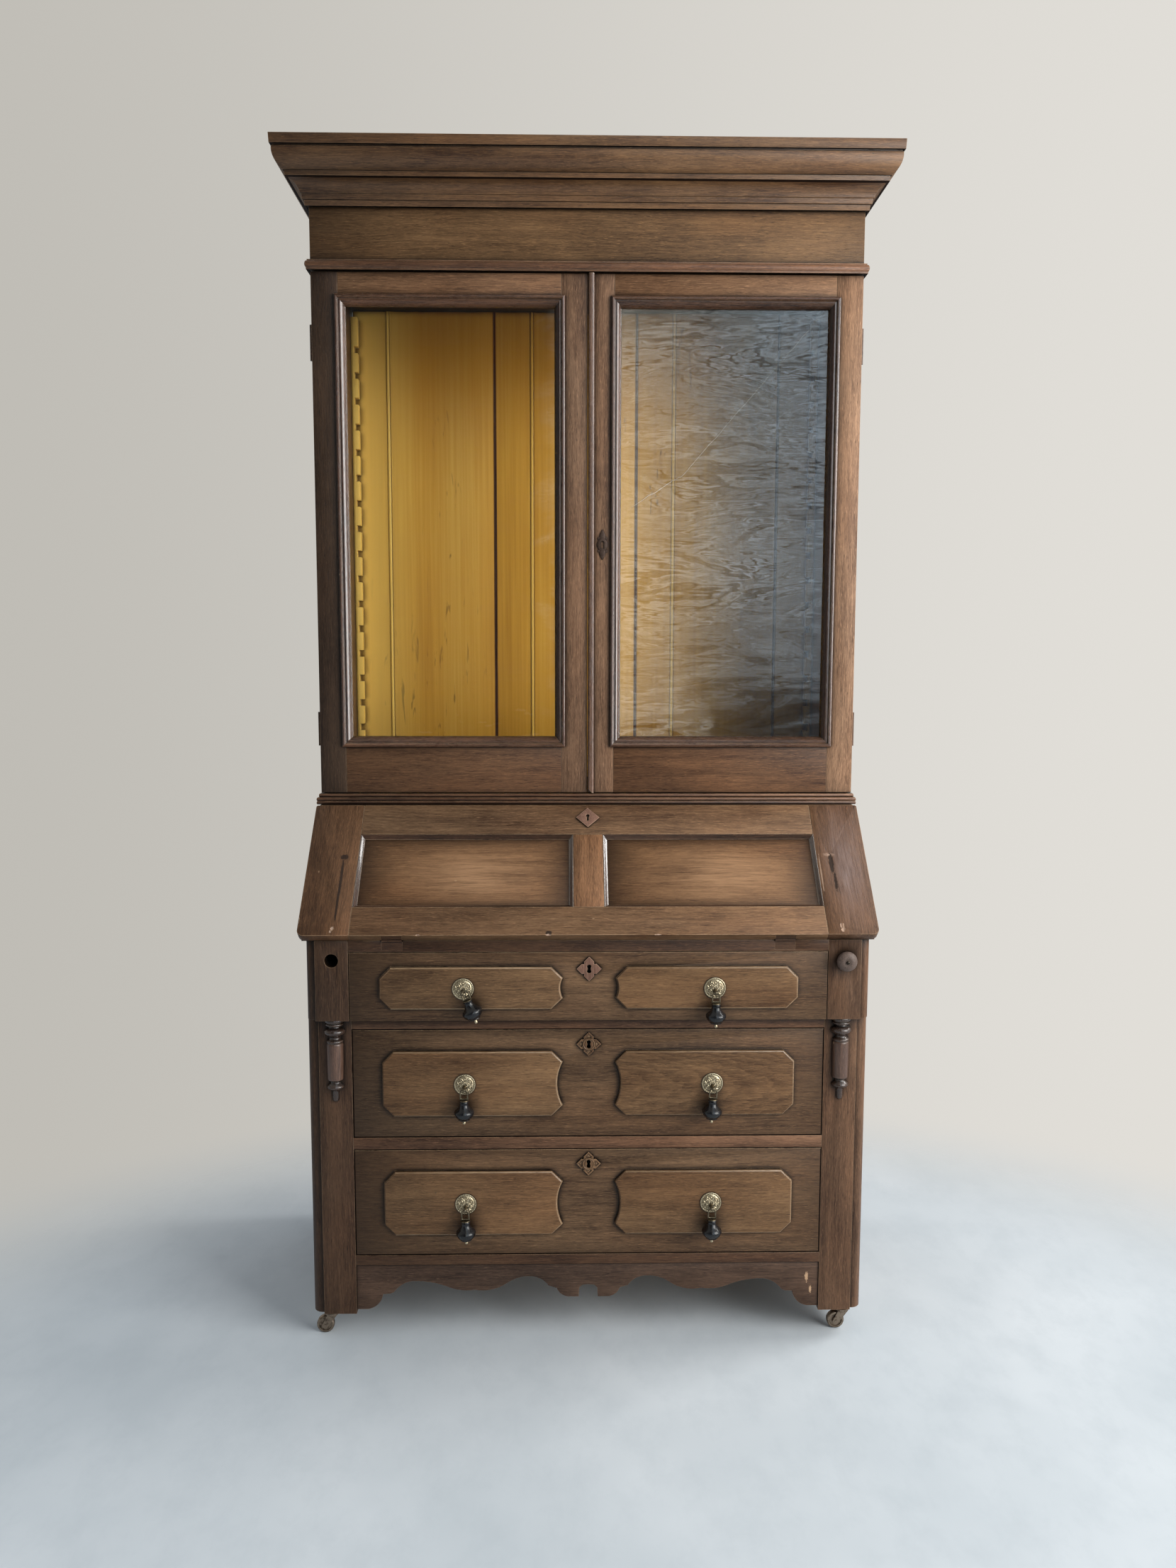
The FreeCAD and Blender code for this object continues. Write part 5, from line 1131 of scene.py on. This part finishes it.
LID_STEPS = [(0, 6.4), (0.5, 0.4), (0.6, -0.2), (1.5, -1.5), (1.6, -1.7), (1.6, -1.5), (1.4, -1.1),
             (0.8, -0.4)]
for side, sign in (("left", -1), ("right", 1)):
    near, far = sorted((INNER * sign, OUTER * sign))
    panel = board(f"fall_front_panel_{side}", (near, FOOT, 3 * MM), (far, HEAD, 11 * MM), 0.2 * MM)
    middle = (near + far) / 2
    warm = walnut(f"fall_front_panel_walnut_{side}", "x", (76, 51, 33), (152, 113, 78), 20.3 + sign * 2,
                  glow=((middle + 0.02, lid_hinge.y + 0.088, lid_hinge.z + 0.1), (0.2, 0.3, 0.08),
                        rgb(180, 140, 104)),
                  shade=((middle, lid_hinge.y + 0.09, lid_hinge.z + 0.105), (0.2, 1, 0.06)))
    finish(on_lid(panel), "fall_front", "panel_walnut", warm, *(["lid_panels"] if side == "left" else []))
    strip = mitred_frame(f"fall_front_moulding_{side}", (near, FOOT), (far, HEAD), LID_STEPS, 11 * MM)
    ease(strip, 0.25 * MM, 2, 40)
    finish(on_lid(strip), "fall_front", "dark_walnut", [lid_moulding_walnut, lid_moulding_upright],
           face=lid_moulding_face)

lid_plate = eased("lid_keyhole_plate", "fall_front_keyhole_plate", 0.9 * MM, steps=3)
finish(lid_plate, "fall_front", "dark_walnut", worn_plate, "lid_keyhole_plate")
dress("lid_hinge_leaves", hinge_walnut)


def make_loper():
    """The round loper: rod, turned knob and the screw that holds it."""
    low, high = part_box("loper")
    x, z = (low.x + high.x) / 2, (low.z + high.z) / 2
    length = 380
    head = (x, high.y - length * MM, z)
    pole = turned("loper_rod", [(0, 11.0), (1.5, 11.9), (length - 1.5, 11.9), (length, 11)])
    lay(pole, (-90, 0, 0), head)
    knob = turned("loper_knob", [(0, 11.4), (3, 11), (6, 10.8), (7.6, 11.4), (9.2, 13.4), (11.4, 16),
                                 (13.6, 17.6), (15.4, 18), (17.4, 17.7), (19.4, 16.4), (21.2, 14.2),
                                 (22.6, 11.6), (23.4, 9.4), (23.7, 7.6), (23.5, 6.2), (23.3, 4)], 56)
    lay(knob, (90, 0, 0), head)
    screw = turned("loper_screw", [(23, 3.3), (24.2, 3.3), (25.2, 2.7), (25.8, 1.4), (25.9, 0.3)], 24)
    cut(screw, board("slot", (-5 * MM, -0.45 * MM, 24.9 * MM), (5 * MM, 0.45 * MM, 28 * MM), 0))
    lay(screw, (0, 0, -35))
    lay(screw, (90, 0, 0), head)
    paint(screw, iron)
    wood = paint(join("loper_wood", [pole, knob]), knob_walnut)
    finish(join("turned_loper", [wood, screw]), "right_loper", "dark_walnut", None, "loper", angle=40)


make_loper()


# ---------------------------------------------------------------- the bookcase

def mitred(point):
    """The lengths of the mouldings, parted at their mitres."""
    level = f"_{point.z > 1.5}"
    if DOOR_FACE - point.y > abs(point.x) - CASE_SIDE:
        return "front" + level
    return ("left" if point.x < 0 else "right") + level


def frieze_part(point):
    inner = CASE_SIDE - BOARD
    if point.y < 0 and abs(point.x) < inner or point.y < DOOR_FACE + BOARD:
        return "front"
    return "left" if point.x < -inner else "right" if point.x > inner else "back"


def boards_part(point):
    if point.z < 1.5:
        return "floor"
    return "rail" if point.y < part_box("bookcase_sides")[0].y + BOARD else "ceiling"


def runs_back(centre, normal):
    """The undersides of the small ledges are painted dark: painted shade."""
    if normal.z < -0.9:
        return 2
    return 0 if mitred(centre).startswith("front") else 1


finish(eased("bookcase_boards", "bookcase_floor_and_ceiling", 0.8 * MM, boards_part), "case", "walnut",
       rail_walnut, "bookcase_boards")
case_boards("bookcase_sides", "bookcase_side_pair", side_walnut)
finish(eased("frieze", "frieze_boards", 0.6 * MM, frieze_part), "case", "walnut", frieze_walnut, "frieze")
finish(eased("case_mouldings", "waist_and_base_mouldings", 0.4 * MM, mitred), "case", "dark_walnut",
       [waist_walnut, cornice_side_walnut, quirk_walnut], "case_mouldings", face=runs_back)
finish(eased("cornice", "cornice_mouldings", 0.5 * MM, mitred), "case", "dark_walnut",
       [cornice_walnut, cornice_side_walnut, quirk_walnut], "cornice", face=runs_back)
dress("cornice_top", inner_deep)


def make_back():
    """Tongued boards, each with a bead worked beside its joint."""
    low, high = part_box("bookcase_back")
    joints = (low.x, -0.19, 0.108, 0.406, high.x)
    parts = []

    def slip(name, place, across, deep, material, round_by, steps=1):
        """A full-height slip of wood. across and deep are mm from the place and from the boards' face."""
        piece = board(name, (place + across[0] * MM, low.y + deep[0] * MM, low.z),
                      (place + across[1] * MM, low.y + deep[1] * MM, high.z), round_by * MM, steps)
        parts.append(paint(piece, material))
        return piece

    for start, end in zip(joints, joints[1:]):
        plank = board("back_board", (start + 1.4 * MM, low.y, low.z), (end - 1.4 * MM, high.y, high.z),
                      2.2 * MM, 3)
        parts.append(paint(plank, back_ochre))
    for place in joints[1:-1]:
        slip("back_tongue", place, (-5, 5), (5, 8), groove_ochre, 0.3)
        groove = slip("back_groove", place, (-3.4, 3.4), (-0.05, 3), groove_ochre, 0.02)
        cut(groove, board("slot", (place - 1.6 * MM, low.y - 4 * MM, low.z - 0.1),
                          (place + 1.6 * MM, low.y + 9 * MM, high.z + 0.1), 0))
    for place in (-0.412, -0.112, 0.186):
        slip("back_bead", place, (-3.2, 3.2), (-2.2, 1), lit_bead_ochre, 2.2, 4)
        slip("back_fillet", place, (4.4, 6.4), (-0.7, 1), back_ochre, 0.5)
    boards = join("beaded_back_boards", parts)
    boards.data.materials.append(inner_upright)
    for polygon in boards.data.polygons:
        if polygon.normal.y > 0.9 and polygon.center.y > high.y - 0.1 * MM:
            polygon.material_index = len(boards.data.materials) - 1
    return boards


finish(make_back(), "case", "back_boards", None, "bookcase_back")
case_boards("shelf_strips", "notched_strips", strip_ochre, 0.5, "back_boards")
dress("fixed_hinge_leaves", hinge_walnut)


def door_part(point):
    x = abs(point.x)
    if x < 0.049 or x > 0.4565:
        return "stile_in" if x < 0.049 else "stile_out"
    return "rail_low" if point.z < 1.4 else "rail_high"


def door_face(centre, normal):
    kind = door_part(centre)
    return 1 if kind.startswith("stile") else 2 if kind == "rail_low" else 0


def moulding_part(low, high):
    """Level lengths, upright lengths, and the flanks of the uprights that look away from the light."""
    def part(centre, normal):
        upright = min(centre.x - low.x, high.x - centre.x) < min(centre.z - low.z, high.z - centre.z)
        return (2 if normal.x < -0.15 else 1) if upright else 0
    return part


DOOR_STEPS = [(0, 3.4), (0.5, 1.3), (1.1, 0.9), (1.5, 0.4), (1.6, -0.1), (1.4, -0.7), (0.9, -1.4),
              (0.3, -1.2), (1.4, -0.1), (1.6, 0.3), (1.8, -0.6), (2.2, -1.8), (2.2, -2.8), (1.8, -3.2),
              (1.2, -3.0), (0.5, -2.4)]
PANE_BEAD_STEPS = [(0, 7.8), (2, 0.2), (7, -7.2)]
PANE_BEAD_IN = 6.5 * MM

for side in ("left", "right"):
    finish(eased(f"{side}_door_frame", f"{side}_door_boards", 0.9 * MM, door_part), f"{side}_door", "walnut",
           [door_rail_walnut, stile_walnut, door_foot_walnut], f"{side}_door_frame", face=door_face)
    low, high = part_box(f"{side}_door_moulding")
    strip = mitred_frame(f"{side}_door_bolection", (low.x, low.z), (high.x, high.z), DOOR_STEPS)
    ease(strip, 0.3 * MM, 2, 40)
    lay(strip, (90, 0, 0), (0, DOOR_FACE, 0))
    bead = mitred_frame(f"{side}_glazing_bead", (low.x + PANE_BEAD_IN, low.z + PANE_BEAD_IN),
                        (high.x - PANE_BEAD_IN, high.z - PANE_BEAD_IN), PANE_BEAD_STEPS)
    lay(bead, (90, 0, 0), (0, DOOR_BACK - 0.1 * MM, 0))
    finish(join(f"{side}_door_moulding_frame", [strip, bead]), f"{side}_door", "dark_walnut",
           [moulding_walnut, moulding_upright, moulding_shaded], f"{side}_door_moulding",
           face=moulding_part(low, high))
    dress(f"{side}_door_glass", pane)
    dress(f"{side}_door_hinge_leaves", hinge_walnut)


def make_meeting_bead():
    low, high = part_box("meeting_bead")
    bead = board("door_meeting_bead", (low.x, low.y, low.z), (high.x, high.y, high.z), 0)
    open_up(bead, "EDGE")
    pick_edges(bead, lambda a, b: max(a.z, b.z) < low.z + MM and max(a.x, b.x) < low.x + MM)
    bpy.ops.mesh.bevel(offset=8 * MM, segments=1, affect="EDGES")
    pick_edges(bead, lambda a, b: a.y < low.y + MM and b.y < low.y + MM and abs(a.z - b.z) > 0.1)
    bpy.ops.mesh.bevel(offset=4.4 * MM, segments=6, affect="EDGES")
    close_up()
    return bead


finish(make_meeting_bead(), "right_door", "dark_walnut", bead_walnut, "meeting_bead")


def lock_part(point):
    return "plate" if point.y < DOOR_FACE else "case"


def make_door_plate(low, high):
    """An oval keyhole plate with a leaf at its head and foot."""
    x, z = (low.x + high.x) / 2, (low.z + high.z) / 2
    parts = []
    for name, sides, radius, wide, tall, up, thick in (
            ("oval", 40, 9.4, 1, 1.25, 0, 2.3),
            ("neck", 24, 5.4, 1, 1.3, 13.5, 2.0), ("neck", 24, 5.4, 1, 1.3, -13.5, 2.0),
            ("leaf", 4, 8, 0.66, 1.2, 18.4, 1.7), ("leaf", 4, 8, 0.66, 1.2, -18.4, 1.7),
            ("curl", 16, 2.6, 1, 1, 11.6, 1.5), ("curl", 16, 2.6, 1, 1, -11.6, 1.5)):
        for shift in ((-6.6, 6.6) if name == "curl" else (0,)):
            piece = rod(name, sides, radius, thick)
            piece.scale = (wide, tall, 1)
            settle(piece)
            ease(piece, 0.5 * MM)
            lay(piece, (90, 0, 0), (x + shift * MM, high.y - thick * MM / 2, z + up * MM))
            if name == "oval":
                cut(piece, keyhole(x, high.y, z - 1 * MM, 5 * MM))
            parts.append(piece)
    return join("right_door_keyhole_plate", parts)


for piece in apart("right_door_lock", "right_door_lock_piece", lock_part):
    if piece.name.endswith("plate"):
        corners = [piece.matrix_world @ Vector(corner) for corner in piece.bound_box]
        low = Vector([min(corner[i] for corner in corners) for i in range(3)])
        high = Vector([max(corner[i] for corner in corners) for i in range(3)])
        bpy.data.objects.remove(piece)
        finish(make_door_plate(low, high), "right_door", "iron", plate_iron, "right_door_lock", angle=40)
    else:
        ease(piece, 1 * MM)
        piece.name = "right_door_lock_case"
        finish(piece, "right_door", "iron", iron)

for place in ("front_left", "front_right", "back_left", "back_right"):
    dress("caster_horn_" + place, caster_iron)
    dress("caster_wheel_" + place, caster_iron)
dress("caster_sockets", iron)
for master in (rosette_master, pull_master, plate_master):
    bpy.data.objects.remove(master)


# ---------------------------------------------------------------- floor and light

def lay_floor():
    """A pale floor. The camera doesn't see it away from the desk."""
    clear()
    bpy.ops.mesh.primitive_circle_add(vertices=96, radius=14, fill_type="NGON", location=(0, 0, 0))
    floor = bpy.context.object
    floor.name = "studio_floor"
    f = Finish("pale_floor")
    cloud = f.noise(f.stretch((1.6, 1.6, 1)), 1, 4, 0.6)
    fine = f.noise(f.stretch((14, 9, 1)), 1, 4, 0.7)
    colour = f.mix(f.span(cloud, 0.3, 0.7), rgb(198, 207, 213), rgb(218, 225, 230))
    colour = f.mix(f.span(fine, 0.45, 0.75, 0, 0.25), colour, rgb(182, 192, 199))
    # Painted light: the floor is paler to the left, where the light is dimmer and the desk's shadow falls,
    # and darker to the right.
    colour = f.vector("SCALE", colour, f.span(f.axes()[0], -0.9, 1.4, 1.1, 0.76))
    matt = f.add("BsdfDiffuse", {"Color": colour}).outputs[0]
    hidden = f.add("BsdfTransparent", {"Color": (1, 1, 1, 1)}).outputs[0]
    far = f.span(f.ball((0.1, -0.35, 0), (1.9, 1.5, 1.5)), 0.5, 0.08, 0, 1, True)
    away = f.times(far, f.add("LightPath").outputs["Is Camera Ray"])
    f.surface(f.blend(away, matt, hidden))
    floor.data.materials.append(f.material)
    floor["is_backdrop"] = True


def lamp(name, place, aim, size, power, colour):
    light = bpy.data.lights.new(name, "AREA")
    light.shape = "RECTANGLE"
    light.size, light.size_y = size
    light.energy = power
    light.color = colour
    item = bpy.data.objects.new(name, light)
    bpy.context.scene.collection.objects.link(item)
    item.location = place
    item.rotation_mode = "QUATERNION"
    item.rotation_quaternion = (Vector(aim) - Vector(place)).to_track_quat("-Z", "Y")


def light_room():
    """A pale room, brighter to the right, with a window there."""
    f = Finish("studio", room=True)
    bpy.context.scene.world = f.material
    ray = f.add("LightPath").outputs
    x, y, z = f.axes()

    # the walls and the ground, as the camera, the glass and the polish see them
    across = f.span(x, -0.55, 0.55, soft=True)
    wall = f.ramp(across, (0, rgb(190, 187, 180)), (1, rgb(226, 223, 217)))
    ground = f.ramp(across, (0, rgb(176, 181, 183)), (1, rgb(215, 221, 225)))
    room = f.mix(f.span(z, -0.36, -0.47, soft=True), wall, ground)
    seen = f.add("Background", {"Color": room, "Strength": 1.0}).outputs[0]

    # before the desk the polish sees a bright place to the right, with dark lines
    pool = f.ramp(f.span(x, -0.5, 0.9), (0, 0.1), (0.2, 0.02), (0.345, 0.03), (0.385, (0.82, 0.81, 0.72, 1)),
                  (0.42, (0.72, 0.73, 0.68, 1)), (0.47, (0.64, 0.75, 0.83, 1)), (0.52, (0.74, 0.89, 1.04, 1)),
                  (0.7, (0.7, 0.76, 0.81, 1)), (1, 0.5))
    sill = f.sum("MAXIMUM", f.span(z, -0.07, 0.06, 0.12, 1, True), f.span(x, 0.14, 0.08, 0, 1.1, True))
    slats = f.noise(f.stretch((5, 5, 120)), 1, 3, 0.5, 0.6)
    shelves = f.add("TexWave", {"Vector": f.place, "Scale": 22.0, "Distortion": 9.0, "Detail": 3.0,
                                "Detail Scale": 0.9}, wave_type="BANDS", bands_direction="Z").outputs["Fac"]
    lines = f.times(f.span(slats, 0.36, 0.62, 1.2, 3.1), f.span(shelves, 0.0, 0.34, 0.5, 1.14))
    shine = f.add("Background", {"Color": pool, "Strength": f.times(sill, lines)}).outputs[0]
    before = f.times(f.span(y, -0.2, -0.6), ray["Is Glossy Ray"])
    seen = f.blend(before, seen, shine)

    # what lights the wood
    strength = f.plus(f.span(x, -0.8, 0.8, 0.2, 0.5), f.span(z, 0.0, 0.9, 0.0, 0.26))
    lit = f.add("Background", {"Color": rgb(232, 236, 240), "Strength": strength}).outputs[0]
    looking = f.sum("MAXIMUM", ray["Is Camera Ray"], ray["Is Transmission Ray"])
    looking = f.sum("MAXIMUM", looking, ray["Is Glossy Ray"])
    f.surface(f.blend(looking, lit, seen))

    lamp("window_light", (2.6, -1.9, 1.8), (0, -0.1, 1.05), (2.2, 2.6), 112, (1.0, 0.985, 0.96))
    lamp("side_window", (2.3, 0.3, 2.25), (-0.3, -0.15, 1.2), (0.9, 1.3), 40, (1.0, 0.99, 0.97))


lay_floor()
light_room()

scene = bpy.context.scene
scene.view_settings.view_transform = "Standard"

low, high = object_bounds()
